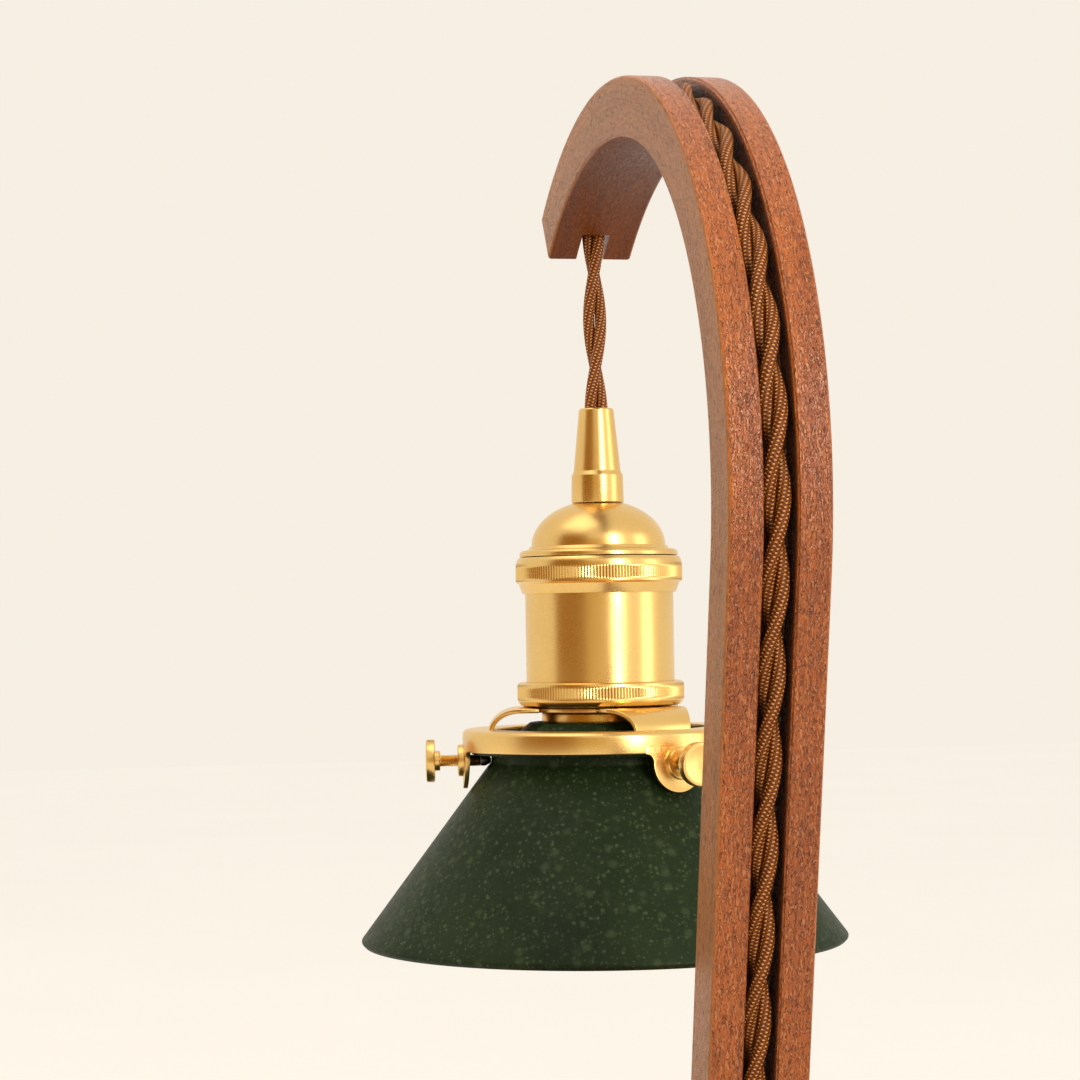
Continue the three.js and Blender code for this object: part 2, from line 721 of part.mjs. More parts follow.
function gallery() {
  const half = armStripWidth / 2;
  const strips = solid(turned(stripProfile(), wideSides));
  const arms = screwTurns().map((turn) => {
    const box = block([0, -half, hubFoot - galleryDrop - overrun], [bandRadius, half, hubTop + overrun]);
    return strips.intersect(solid(box.rotateZ(turn)));
  });
  const band = solid(turned([[galleryBore / 2, bandTop - sheet], [bandRadius - sheet, bandTop - sheet],
    [bandRadius - sheet, bandFoot], [bandRadius, bandFoot], [bandRadius, bandTop - 2 * fit],
    [bandRadius - 2 * fit, bandTop], [galleryBore / 2, bandTop]], wideSides));
  const lugWall = solid(tube(bandRadius - sheet, bandRadius, screwZ - lugWidth, bandFoot + sheet, wideSides));
  const lugs = screwTurns().map((turn) => {
    const prism = join([alongX(disc(lugWidth / 2, 0, bandDiameter, smallSides)).translate(0, 0, screwZ),
      block([0, -lugWidth / 2, screwZ], [bandDiameter, lugWidth / 2, bandTop])]);
    return lugWall.intersect(solid(prism.rotateZ(turn)));
  });
  const bosses = screwTurns().map((turn) => solid(alongX(disc(lugBossDiameter / 2, bandRadius - sheet / 2,
    bandRadius + lugBoss, smallSides)).translate(0, 0, screwZ).rotateZ(turn)));
  const hub = solid(tube(hubBore / 2, hubDiameter / 2, hubFoot, hubTop));
  const holes = screwTurns().map((turn) => solid(alongX(disc(screwDiameter / 2 + fit, 0, bandDiameter, pinSides))
    .translate(0, 0, screwZ).rotateZ(turn)));
  const whole = [...arms, ...lugs, ...bosses, hub].reduce((all, next) => all.add(next), band);
  return shaped(holes.reduce((all, hole) => all.subtract(hole), whole));
}

function thumbScrew() {
  const stem = screwDiameter / 2;
  const knob = knobDiameter / 2;
  const neck = knobNeckDiameter / 2;
  const face = knobReach + knobThickness;
  return alongX(turned([[0, tipOuter + fit], [stem, tipOuter + fit], [stem, knobReach - knobNeckLength],
    [neck, knobReach - knobNeckLength], [neck, knobReach], [knob - fit, knobReach], [knob, knobReach + fit],
    [knob, face - fit], [knob - fit, face], [0, face]], smallSides));
}

function screwTip() {
  const radius = tipDiameter / 2;
  return alongX(turned([[0, tipInner], [radius / 2, tipInner + fit], [radius, tipInner + radius],
    [radius, tipOuter], [0, tipOuter]], pinSides));
}

function shade() {
  const rim = rimDiameter / 2;
  const top = coneTopDiameter / 2;
  const neck = neckDiameter / 2;
  const lip = lipDiameter / 2;
  const edge = shadeWall / 2;
  const inner = neck - shadeWall;
  const collar = collarDiameter / 2;
  const ceiling = lipTop - shadeWall;
  return turned([[rim - edge, rimZ], [rim - edge / 3, rimZ + edge / 3], [rim, rimZ + edge],
    [top, neckFoot], [neck, neckFoot + neckRound], [neck, lipFoot], [lip, lipFoot], [lip, lipTop - neckRound],
    [lip - neckRound, lipTop], [collar, lipTop], [collar, lipTop + collarShoulder],
    [collarTopDiameter / 2, lipTop + collarRise], [collarBore / 2, lipTop + collarRise],
    [collarBore / 2, ceiling], [inner, ceiling], [inner, neckFoot],
    [rim - shadeWall - edge, rimZ + edge], [rim - shadeWall, rimZ]], wideSides);
}

// Lamp holder and bulb
function pinSlots(low, high, radius) {
  // Two curved slots that let the bulb's pins enter and turn.
  const shape = (side) => {
    const outline = new THREE.Shape();
    const middle = pinSpacing / 2;
    const from = side * halfTurn;
    const sweep = twistAngle * degrees;
    outline.absarc(0, 0, middle + radius, from - sweep, from, false);
    outline.absarc(middle * Math.cos(from), middle * Math.sin(from), radius, from, from + halfTurn, false);
    outline.absarc(0, 0, middle - radius, from, from - sweep, true);
    const tail = from - sweep;
    outline.absarc(middle * Math.cos(tail), middle * Math.sin(tail), radius, tail + halfTurn,
      tail + 2 * halfTurn, false);
    return outline;
  };
  return [0, 1].map((side) => extruded(shape(side), high - low, 3).translate(0, 0, low));
}

function lampHolder() {
  const chamber = pinLength + pinHeadHeight;
  const screwHole = bridgeScrewDiameter / 2 + fit;
  const tapDepth = holderTop - holderHeight / 3;
  return cut(disc(holderDiameter / 2, holderFoot, holderTop), [
    ...pinSlots(holderFoot - overrun, holderFoot + chamber, pinHeadDiameter / 2 + 2 * fit),
    ...[-1, 1].map((side) => disc(screwHole, tapDepth, holderTop + overrun, smallSides)
      .translate(0, (side * bridgeScrewSpacing) / 2, 0)),
    ...[-1, 1].map((side) => disc(leadDiameter / 2 + fit, holderFoot + chamber / 2, holderTop + overrun,
      smallSides).translate((side * pinSpacing) / 2, 0, 0)),
  ]);
}

function contact(side) {
  const x = (side * pinSpacing) / 2;
  const low = holderFoot + pinLength + 2 * fit;
  return block([x - contactWidth / 2, -contactWidth / 2, low],
    [x + contactWidth / 2, contactWidth / 2, low + contactThickness]);
}

function holderBridge() {
  const low = holderTop + fit;
  const reach = shellBore - fit;
  const hole = bridgeScrewDiameter / 2 + fit;
  const half = bridgeWidth / 2;
  const arm = Math.sqrt(reach ** 2 - half ** 2);
  const bar = block([-half, -arm, low], [half, arm, low + bridgeThickness]);
  const tabs = [-1, 1].map((side) => block([-half, Math.min(side * arm, side * (arm - bridgeThickness)), low],
    [half, Math.max(side * arm, side * (arm - bridgeThickness)), low + bridgeWidth / 2]));
  return cut(join([bar, ...tabs]), [
    ...[-1, 1].map((side) => disc(hole, low - overrun, low + overrun, smallSides)
      .translate(0, (side * bridgeScrewSpacing) / 2, 0)),
    ...[-1, 1].map((side) => disc(leadDiameter / 2 + fit, low - overrun, low + overrun, smallSides)
      .translate((side * pinSpacing) / 2, 0, 0)),
  ]);
}

function bridgeScrew(side) {
  const seat = holderTop + bridgeThickness + 2 * fit;
  const shank = bridgeScrewDiameter / 2;
  return turned([[0, seat - holderHeight / 3], [shank, seat - holderHeight / 3 + shank], [shank, seat],
    [2 * shank, seat], [2 * shank, seat + shank], [0, seat + shank]], pinSides)
    .translate(0, (side * bridgeScrewSpacing) / 2, 0);
}

// One insulated conductor from the cord's end, spread out to its contact.
function conductor(side) {
  const low = holderFoot + pinLength + 2 * fit + contactThickness + fit;
  const x = (side * pinSpacing) / 2;
  const high = gripFoot - domeWall;
  const near = leadDiameter / 2 + 2 * fit;
  const curve = new THREE.CatmullRomCurve3([[x, low], [x, holderTop], [x, holderTop + bridgeWidth / 2],
    [side * near, flangeTop], [side * near, high]].map(([px, pz]) => new THREE.Vector3(px, 0, pz)),
  false, 'centripetal');
  const section = new THREE.Shape();
  section.absarc(0, 0, leadDiameter / 2, 0, 2 * Math.PI);
  return new THREE.ExtrudeGeometry(section, { steps: 10, curveSegments: 3, extrudePath: curve });
}

function bulbCap() {
  const radius = bulbCapDiameter / 2;
  const edge = sheetThickness;
  return turned([[0, reflectorTop + fit], [radius, reflectorTop + fit], [radius, bulbTop - edge],
    [radius - edge, bulbTop], [0, bulbTop]]);
}

function bulbPin(side) {
  const stem = pinDiameter / 2;
  const head = pinHeadDiameter / 2;
  const top = bulbTop + pinLength;
  return turned([[0, bulbTop + fit], [stem, bulbTop + fit], [stem, top - pinHeadHeight],
    [head, top - pinHeadHeight], [head, top], [0, top]], pinSides).translate((side * pinSpacing) / 2, 0, 0);
}

function reflector() {
  const steps = 5;
  const wall = sheetThickness;
  const throat = bulbCapDiameter / 2 - wall;
  const mouth = reflectorDiameter / 2;
  const bowl = (inset) => Array.from({ length: steps }, (_, i) => {
    const share = i / (steps - 1);
    return [throat + (mouth - throat) * Math.sqrt(share) - inset, reflectorTop - reflectorHeight * share];
  });
  const outside = bowl(0);
  const inside = bowl(wall).reverse();
  return turned([[0, reflectorTop], ...outside, ...inside.slice(0, -1), [0, reflectorTop - wall]]);
}

function lens() {
  const radius = reflectorDiameter / 2 - sheetThickness - lensInset;
  return disc(radius, lensFoot + fit, lensFoot + lensThickness);
}

// Dimmer, drawn round its own middle with the cord along Y
function dimmerShell(low, high, top) {
  const outline = roundedRectangle(dimmerWidth, dimmerLength, dimmerRound);
  const body = extruded(outline, high - low, 3, dimmerEdge).translate(0, 0, low);
  const cavity = roundedRectangle(dimmerWidth - 2 * dimmerWall, dimmerLength - 2 * dimmerWall,
    dimmerRound - dimmerWall);
  const floor = top ? low - overrun : low + dimmerWall;
  const roof = top ? high - dimmerWall : high + overrun;
  return solid(body).subtract(solid(extruded(cavity, roof - floor, 2).translate(0, 0, floor)));
}

const wheelZ = dimmerHeight + wheelRise - wheelDiameter / 2;
const caseSplit = dimmerHeight / 2;
const bushZ = caseSplit;
function bushHoles() {
  const radius = bushRootDiameter / 2 - dimmerWall + fit;
  return [-1, 1].map((side) => alongY(disc(radius, -2 * dimmerWall, 2 * dimmerWall, smallSides))
    .translate(0, (side * dimmerLength) / 2, bushZ));
}

function caseScrewPlaces() {
  return [-1, 1].map((side) => side * (dimmerLength / 2 - caseScrewInset));
}

function dimmerTop() {
  const hollow = dimmerShell(caseSplit + fit, dimmerHeight, true);
  const slot = block([-wheelThickness / 2 - 2 * fit, -wheelDiameter / 2 - 2 * fit, wheelZ],
    [wheelThickness / 2 + 2 * fit, wheelDiameter / 2 + 2 * fit, dimmerHeight + overrun]);
  const posts = caseScrewPlaces().map((y) => solid(disc(caseScrewDiameter, caseSplit + fit,
    dimmerHeight - dimmerWall / 2, pinSides).translate(0, y, 0)));
  const filled = posts.reduce((all, post) => all.add(post), hollow);
  const pilots = caseScrewPlaces().map((y) => disc(caseScrewDiameter / 2 + fit, caseSplit - overrun,
    dimmerHeight - 2 * dimmerWall, smallSides).translate(0, y, 0));
  const holes = [slot, ...pilots, ...bushHoles()];
  return shaped(holes.reduce((all, hole) => all.subtract(solid(hole)), filled));
}

function dimmerBottom() {
  const hollow = dimmerShell(0, caseSplit, false);
  const bearing = [-1, 1].map((side) => {
    const near = side * (wheelThickness / 2 + 3 * fit);
    const far = near + side * wheelPinReach;
    return solid(block([Math.min(near, far), -wheelPinDiameter, dimmerWall / 2],
      [Math.max(near, far), wheelPinDiameter, wheelZ]));
  });
  const posts = caseScrewPlaces().map((y) => solid(disc(caseScrewHead / 2 + dimmerWall / 2, dimmerWall / 2,
    caseSplit - fit, pinSides).translate(0, y, 0)));
  const filled = [...bearing, ...posts].reduce((all, next) => all.add(next), hollow);
  const pin = alongX(disc(wheelPinDiameter / 2 + fit, -dimmerWidth / 2 + dimmerWall,
    dimmerWidth / 2 - dimmerWall, pinSides)).translate(0, 0, wheelZ);
  const screwHoles = caseScrewPlaces().flatMap((y) => [
    disc(caseScrewDiameter / 2 + fit, -overrun, caseSplit + overrun, smallSides).translate(0, y, 0),
    disc(caseScrewHead / 2 + fit, -overrun, dimmerWall, pinSides).translate(0, y, 0),
  ]);
  return shaped([pin, ...screwHoles, ...bushHoles()].reduce((all, hole) => all.subtract(solid(hole)), filled));
}

function thumbWheel() {
  const shape = new THREE.Shape();
  const outer = wheelDiameter / 2;
  for (let i = 0; i < wheelRibs * 2; i += 1) {
    const angle = (i / (wheelRibs * 2)) * 2 * Math.PI;
    const radius = i % 2 ? outer : outer - wheelRibDepth;
    shape.lineTo(radius * Math.cos(angle), radius * Math.sin(angle));
  }
  const rim = extruded(shape, wheelThickness).translate(0, 0, -wheelThickness / 2);
  const reach = wheelThickness / 2 + 3 * fit + wheelPinReach;
  const spindle = disc(wheelPinDiameter / 2, -reach, reach, pinSides);
  return join([alongX(rim), alongX(spindle)]).translate(0, 0, wheelZ);
}

function dimmerBoard() {
  const half = dimmerWidth / 2 - dimmerWall - boardInset / 5;
  const end = dimmerLength / 2 - dimmerWall - boardInset;
  const wheelRoom = wheelDiameter / 2 - boardInset;
  const side = wheelThickness / 2 + 3 * fit + wheelPinReach + fit;
  return cut(block([side, -end, dimmerWall + fit], [half, end, dimmerWall + fit + boardThickness]),
    [block([side - overrun, -wheelRoom / 9, dimmerWall], [side + fit, wheelRoom / 9, caseSplit])]);
}

function caseScrew(y) {
  return screwUp(caseScrewHead / 2, dimmerWall - fit, caseScrewDiameter / 2, dimmerHeight - 3 * dimmerWall)
    .translate(0, y, fit / 2);
}

const bushInside = dimmerLength / 2 - dimmerWall - fit - bushFlange;
function cordBush(side) {
  const tip = bushTipDiameter / 2;
  const root = bushRootDiameter / 2;
  const neck = root - dimmerWall;
  const bore = cordRadius + 2 * fit;
  const wall = dimmerLength / 2;
  const bush = alongY(turned([[bore, bushInside], [root, bushInside], [root, bushInside + bushFlange],
    [neck, bushInside + bushFlange], [neck, wall + fit], [root, wall + fit], [root, wall + 4 * fit],
    [tip, wall + bushLength], [bore, wall + bushLength]], smallSides));
  return (side > 0 ? bush : bush.rotateZ(Math.PI)).translate(0, 0, bushZ);
}

// Outlet bush in the foot's edge
function outletBush() {
  const edge = footRadius;
  const bore = cordRadius + 2 * fit;
  const barrel = outletBushDiameter / 2;
  const flange = outletFlangeDiameter / 2;
  const start = edge + 2 * fit;
  return alongY(turned([[bore, edge - outletSeat], [barrel, edge - outletSeat], [barrel, start], [flange, start],
    [flange, start + outletFlangeThickness], [barrel, start + outletFlangeThickness + fit],
    [outletTipDiameter / 2, start + outletNose], [bore, start + outletNose]], smallSides))
    .translate(0, 0, outletHeight);
}

// Coil: the turns spiral in, climb to the upper layer where the spiral reverses, and spiral out.
const turnPitch = cordDiameter + turnGap;
const coilFoot = tieThickness + fit + cordRadius;
const coilOuter = coilMeanDiameter / 2 + (turnPitch * coilTurns) / 4;
const coilX = -coilOuter; // the first turn starts in line with the outlet
const climbStart = (coilTurns - climbShare) / 2;
function coilPlace(t) {
  const radius = coilOuter - turnPitch * Math.min(t, coilTurns - t);
  const climb = THREE.MathUtils.smoothstep(t, climbStart, climbStart + climbShare);
  const angle = 2 * halfTurn * t;
  return new THREE.Vector3(coilX + radius * Math.cos(angle), coilY + radius * Math.sin(angle),
    coilFoot + turnPitch * climb);
}
const coilStart = coilPlace(0);
const coilEnd = coilPlace(coilTurns);

function coilCentres() {
  const count = Math.round(coilTurns * coilSteps);
  const turns = Array.from({ length: count + 1 }, (_, i) => coilPlace((i / count) * coilTurns));
  const lead = new THREE.Vector3(0, -cordDiameter, 0);
  return [coilStart.clone().add(lead), ...turns, coilEnd.clone().add(lead)];
}

function coil() {
  const centres = coilCentres();
  const last = centres.length - 1;
  const up = new THREE.Vector3(0, 0, 1);
  return skinned(centres.map((centre, i) => {
    const before = centres[Math.max(i - 1, 0)];
    const after = centres[Math.min(i + 1, last)];
    const ahead = i > 0 && i < last ? after.clone().sub(before) : new THREE.Vector3(0, i ? -1 : 1, 0);
    ahead.normalize();
    return ringAt(centre, ahead, up.clone().cross(ahead).normalize(), coilSides);
  }));
}

function leastCoilGap() {
  const centres = coilCentres();
  let least = Infinity;
  for (let i = 0; i < centres.length; i += 1) {
    for (let j = i + coilSteps / 2; j < centres.length; j += 1) {
      least = Math.min(least, centres[i].distanceTo(centres[j]));
    }
  }
  return least - cordDiameter;
}
console.log(`least gap between the coil's turns: ${leastCoilGap().toFixed(2)} mm`);

function coilTie() {
  // A strap round the whole bundle, a quarter turn on from the coil's start.
  const quarter = 1 / 4;
  const innerTurn = coilOuter - turnPitch * (climbStart - quarter);
  const inner = innerTurn - cordRadius - tieGap - tieWidth ** 2 / (8 * innerTurn);
  const outer = coilOuter - turnPitch * quarter + cordRadius + tieGap;
  const low = tieThickness;
  const high = coilFoot + turnPitch + cordRadius + tieGap;
  const width = outer - inner;
  const height = high - low;
  const strap = roundedRectangle(width + 2 * tieThickness, height + 2 * tieThickness,
    tieRound + tieThickness);
  const hole = acrossX(roundedRectangle(width, height, tieRound), tieWidth + 2 * overrun, 2);
  return cut(acrossX(strap, tieWidth, 2), [hole])
    .translate(coilX, coilY + (inner + outer) / 2, (low + high) / 2);
}

// Plug
function plugBody() {
  const points = 16;
  const rings = plugStationShares.map(([alongShare, sizeShare]) => Array.from({ length: points }, (_, i) => {
    const angle = ((i + 0.5) / points) * 2 * Math.PI;
    const side = (value) => Math.sign(value) * Math.abs(value) ** plugSquareShare;
    return new THREE.Vector3((plugWidth / 2) * sizeShare * side(Math.cos(angle)), plugLength * alongShare,
      (plugThickness / 2) * Math.min(1, sizeShare + plugSlimShare) * side(Math.sin(angle)));
  }));
  return skinned(rings).translate(plugX, plugFront, plugThickness / 2);
}

function plugRelief() {
  const root = cordRadius + plugReliefRoot;
  const tip = cordRadius + plugReliefTip;
  const bore = cordRadius + 2 * fit;
  const start = plugFront + plugLength + fit;
  return alongY(turned([[bore, start], [root, start], [tip, start + plugReliefLength],
    [bore, start + plugReliefLength]], smallSides)).translate(plugX, 0, plugThickness / 2);
}

function blade(side) {
  const x = plugX + (side * bladeSpacing) / 2;
  const z = plugThickness / 2;
  const shape = new THREE.Shape();
  const tip = bladeThickness;
  shape.moveTo(0, -bladeHeight / 2);
  shape.lineTo(0, bladeHeight / 2);
  shape.lineTo(tip - bladeLength, bladeHeight / 2);
  shape.lineTo(-bladeLength, bladeHeight / 2 - tip);
  shape.lineTo(-bladeLength, tip - bladeHeight / 2);
  shape.lineTo(tip - bladeLength, -bladeHeight / 2);
  return acrossX(shape, bladeThickness, 1).translate(x, plugFront - fit, z);
}

// The object
const lamp = new THREE.Group();
const foot = new THREE.Group();
foot.add(piece('foot_pad', disc(padRadius, 0, padThickness, wideSides), foam));
foot.add(piece('foot_plate', footPlate(), wood));
foot.add(piece('foot_weight', footWeight(), steel));
[-1, 1].forEach((side, i) => {
  const screw = screwUp(weightScrewHeadDiameter / 2, weightScrewHeadHeight, weightScrewDiameter / 2,
    weightScrewLength).translate(side * weightScrewReach, 0, padThickness + fit);
  foot.add(piece(`weight_screw_${i + 1}`, screw, steel));
});
postScrewPlaces().forEach(([x, y], i) => {
  const screw = leaning(screwUp(postScrewHeadDiameter / 2, postScrewHeadHeight, postScrewDiameter / 2,
    postScrewLength).translate(0, 0, -footScrewSink + fit), x, y);
  foot.add(piece(`post_screw_${i + 1}`, screw, steel));
});
foot.add(piece('outlet_bush', outletBush(), brownPlastic));
lamp.add(foot);

lamp.add(piece('arch', arch(), wood));
lamp.add(piece('groove_cord', grooveCord(), cloth));

const hangingCord = new THREE.Group();
const upperFoot = pivotZ - upperCordLength;
const lowerPivot = upperFoot - cordRadius - fit;
function cordWithBallTop(pivot, low) {
  const ball = Array.from({ length: 5 }, (_, i) => {
    const angle = (i / 4) * (Math.PI / 2);
    return [cordRadius * Math.cos(angle), pivot + cordRadius * Math.sin(angle)];
  });
  return turned([[0, low], [cordRadius, low], ...ball.slice(0, -1), [0, pivot + cordRadius]], 2 * cordSides);
}
hangingCord.add(piece('hanging_cord_upper', cordWithBallTop(pivotZ, upperFoot), cloth));
hangingCord.add(piece('hanging_cord_lower', cordWithBallTop(lowerPivot, gripTop - cordInGrip), cloth));
hangingCord.position.y = lampY;
lamp.add(hangingCord);

const head = new THREE.Group();
head.position.y = lampY;
head.add(piece('cord_grip', cordGrip(), brass));
head.add(piece('cord_lock', cordLock(), blackPlastic));
head.add(piece('dome_cap', domeCap(), brass));
head.add(piece('upper_knurled_ring', upperRing(), brass));
head.add(piece('socket_shell', socketShell(), brass));
head.add(piece('lower_knurled_ring', lowerRing(), brass));
head.add(piece('hub_nut', hubNut(), brass));
head.add(piece('gallery', gallery(), brass));
head.add(piece('shade', shade(), glaze));
screwTurns().forEach((turn, i) => {
  const holder = new THREE.Group();
  holder.rotation.z = turn;
  holder.position.z = screwZ;
  holder.add(piece(`thumb_screw_${i + 1}`, thumbScrew(), brass));
  holder.add(piece(`screw_tip_${i + 1}`, screwTip(), blackPlastic));
  head.add(holder);
});
head.add(piece('lamp_holder', lampHolder(), ceramic));
head.add(piece('holder_bridge', holderBridge(), steel));
[-1, 1].forEach((side, i) => {
  head.add(piece(`contact_${i + 1}`, contact(side), brass));
  head.add(piece(`bridge_screw_${i + 1}`, bridgeScrew(side), steel));
  head.add(piece(`conductor_${i + 1}`, conductor(side), ceramic));
});
const bulb = new THREE.Group();
bulb.add(piece('bulb_cap', bulbCap(), ceramic));
[-1, 1].forEach((side, i) => bulb.add(piece(`bulb_pin_${i + 1}`, bulbPin(side), steel)));
bulb.add(piece('bulb_reflector', reflector(), mirrored));
bulb.add(piece('bulb_lens', lens(), glass));
head.add(bulb);
lamp.add(head);

const dimmer = new THREE.Group();
dimmer.position.set(dimmerX, dimmerY, 0);
dimmer.add(piece('dimmer_case_top', dimmerTop(), blackPlastic));
dimmer.add(piece('dimmer_case_bottom', dimmerBottom(), blackPlastic));
dimmer.add(piece('dimmer_wheel', thumbWheel(), blackPlastic));
dimmer.add(piece('dimmer_board', dimmerBoard(), circuit));
caseScrewPlaces().forEach((y, i) => dimmer.add(piece(`case_screw_${i + 1}`, caseScrew(y), steel)));
[-1, 1].forEach((side, i) => dimmer.add(piece(`dimmer_bush_${i + 1}`, cordBush(side), blackPlastic)));
lamp.add(dimmer);

const outletMeet = new THREE.Vector3(0, outletEnd - cordInBush + fit, outletHeight);
const dimmerFar = new THREE.Vector3(dimmerX, dimmerY + bushInside, bushZ);
const dimmerNear = new THREE.Vector3(dimmerX, dimmerY - bushInside, bushZ);
const coilLead = new THREE.Vector3(0, -cordDiameter - fit, 0);
const plugMeet = new THREE.Vector3(plugX, plugFront + plugLength + fit, plugThickness / 2);
const inDimmerBush = dimmerLength / 2 + bushLength + 4 * fit - bushInside;
lamp.add(piece('lead_1', looseCord(outletMeet, coilStart.clone().add(coilLead), cordInBush + 4 * fit,
  cordDiameter + 4 * fit, 9), cloth));
lamp.add(piece('cord_coil', coil(), cloth));
lamp.add(piece('lead_2', looseCord(coilEnd.clone().add(coilLead), dimmerFar, cordDiameter + 4 * fit,
  inDimmerBush, 8), cloth));
lamp.add(piece('lead_3', looseCord(dimmerNear, plugMeet, inDimmerBush, plugReliefLength + 4 * fit, 12), cloth));
lamp.add(piece('coil_tie', coilTie(), blackPlastic));
lamp.add(piece('plug_body', plugBody(), brownPlastic));
lamp.add(piece('plug_relief', plugRelief(), brownPlastic));
[-1, 1].forEach((side, i) => lamp.add(piece(`plug_blade_${i + 1}`, blade(side), brass)));

export default lamp;
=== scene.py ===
"""Candle warmer lamp: the finished surfaces, the cords and the studio round the packed model.

Metres, +Z up. The lamp's head hangs on the axis x = 0, y = LAMP_Y; the arch's post stands at +y.
"""
import json
import math

import bmesh
import bpy
from bpy.props import FloatProperty, FloatVectorProperty, IntProperty, PointerProperty
from mathutils import Matrix, Vector

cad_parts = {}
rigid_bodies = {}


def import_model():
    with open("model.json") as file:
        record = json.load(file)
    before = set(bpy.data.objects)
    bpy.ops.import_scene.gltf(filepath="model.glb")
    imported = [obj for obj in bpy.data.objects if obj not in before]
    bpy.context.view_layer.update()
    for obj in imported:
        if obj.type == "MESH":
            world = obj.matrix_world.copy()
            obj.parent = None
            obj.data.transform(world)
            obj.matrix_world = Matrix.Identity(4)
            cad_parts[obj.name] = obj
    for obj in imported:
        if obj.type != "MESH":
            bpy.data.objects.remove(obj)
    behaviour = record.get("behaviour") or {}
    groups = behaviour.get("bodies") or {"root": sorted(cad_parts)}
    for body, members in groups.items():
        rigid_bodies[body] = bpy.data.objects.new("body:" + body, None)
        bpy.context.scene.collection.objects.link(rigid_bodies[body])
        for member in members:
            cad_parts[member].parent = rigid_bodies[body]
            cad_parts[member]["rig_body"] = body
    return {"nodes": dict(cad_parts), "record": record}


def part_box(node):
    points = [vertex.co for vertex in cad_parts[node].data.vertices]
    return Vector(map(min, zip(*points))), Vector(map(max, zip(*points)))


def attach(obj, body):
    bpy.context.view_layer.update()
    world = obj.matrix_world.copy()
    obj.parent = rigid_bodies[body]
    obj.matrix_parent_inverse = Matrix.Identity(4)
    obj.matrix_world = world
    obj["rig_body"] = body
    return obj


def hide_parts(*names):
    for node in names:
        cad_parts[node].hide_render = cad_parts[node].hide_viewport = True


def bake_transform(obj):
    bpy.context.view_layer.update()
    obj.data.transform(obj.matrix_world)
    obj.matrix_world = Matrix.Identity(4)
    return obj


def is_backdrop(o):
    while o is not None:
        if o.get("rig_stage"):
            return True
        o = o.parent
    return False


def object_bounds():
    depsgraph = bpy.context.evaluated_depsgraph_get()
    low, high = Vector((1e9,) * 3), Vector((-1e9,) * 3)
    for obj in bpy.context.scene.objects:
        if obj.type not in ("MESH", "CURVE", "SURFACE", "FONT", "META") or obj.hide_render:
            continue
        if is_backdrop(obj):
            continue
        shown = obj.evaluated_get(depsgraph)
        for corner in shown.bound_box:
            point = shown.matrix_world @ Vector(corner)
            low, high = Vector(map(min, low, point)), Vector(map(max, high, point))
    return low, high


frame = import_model()
CAD_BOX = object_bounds()

bl_info = {
    "name": "Candle warmer lamp",
    "version": (1, 0, 0),
    "blender": (4, 5, 0),
    "location": "View3D > Sidebar > Lamp",
    "description": "Builds the finished candle warmer lamp round its packed frame",
    "category": "Object",
}

MM = 0.001
DEGREES = math.pi / 180
QUARTER_X = (90 * DEGREES, 0, 0)
QUARTER_Y = (0, 90 * DEGREES, 0)


def low(node):
    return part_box(node)[0]


def high(node):
    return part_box(node)[1]


def radius_of(node):
    return (high(node).x - low(node).x) / 2


# Places taken from the frame, the band of the gallery, and the height at which the lights and cards aim
LAMP_Y = (low("dome_cap").y + high("dome_cap").y) / 2
FOOT_TOP = high("foot_plate").z
HUB_TOP = high("gallery").z
BAND_FOOT = 201.858 * MM
BAND_TOP = 207.658 * MM
BAND_RADIUS = 37.5 * MM
ARM_FOOT = 206.9 * MM
AIM_Z = 0.22
SLOTS = {part["node"]: part["material_slot"] for part in frame["record"]["subparts"]}


def length(name, value, description):
    return FloatProperty(name=name, default=value, min=0, unit="LENGTH", subtype="DISTANCE",
                         precision=5, description=description)


def angle(name, value, description):
    return FloatProperty(name=name, default=value * DEGREES, unit="ROTATION", subtype="ANGLE",
                         description=description)


def colour(name, value, description):
    return FloatVectorProperty(name=name, default=value, size=3, min=0, max=1, subtype="COLOR",
                               description=description)


class CordSettings(bpy.types.PropertyGroup):
    """Two covered strands twisted together."""
    strand: length("Strand diameter", 3.1 * MM, "Diameter of one covered strand")
    groove_pitch: length("Pitch in the groove", 38.6 * MM, "Length of one full twist in the arch's groove")
    hanging_pitch: length("Pitch when hanging", 51 * MM, "Length of one full twist between arm and grip")
    enter_rise: length("Twist change", 12 * MM, "Height above the arm's tip where the twist tightens")
    enter_run: length("Change length", 18 * MM, "Length of cord over which the twist tightens")
    groove_turn: angle("Groove turn", 37, "Extra turn of the twist as it enters the groove")
    spread: length("Strand gap", 0.1 * MM, "Gap between the two strands")
    carriers: IntProperty(name="Carriers", default=4, min=3, max=12,
                          description="Pairs of bead rows round a strand")
    braid_pitch: length("Braid pitch", 0.85 * MM, "Distance from bead to bead along a row")
    relief: length("Braid relief", 0.13 * MM, "How far the yarn stands out of the strand")
    # Painted highlight: the colour laid on the yarn's raised beads.
    light: colour("Lit yarn", (1.0, 0.48, 0.15), "Painted highlight on the yarn's beads")
    middle: colour("Flat yarn", (0.235, 0.058, 0.006), "Colour of the yarn between the beads")
    # Painted shade: the colour laid in the braid's valleys.
    dark: colour("Deep yarn", (0.07, 0.014, 0.002), "Painted shade in the braid's valleys")


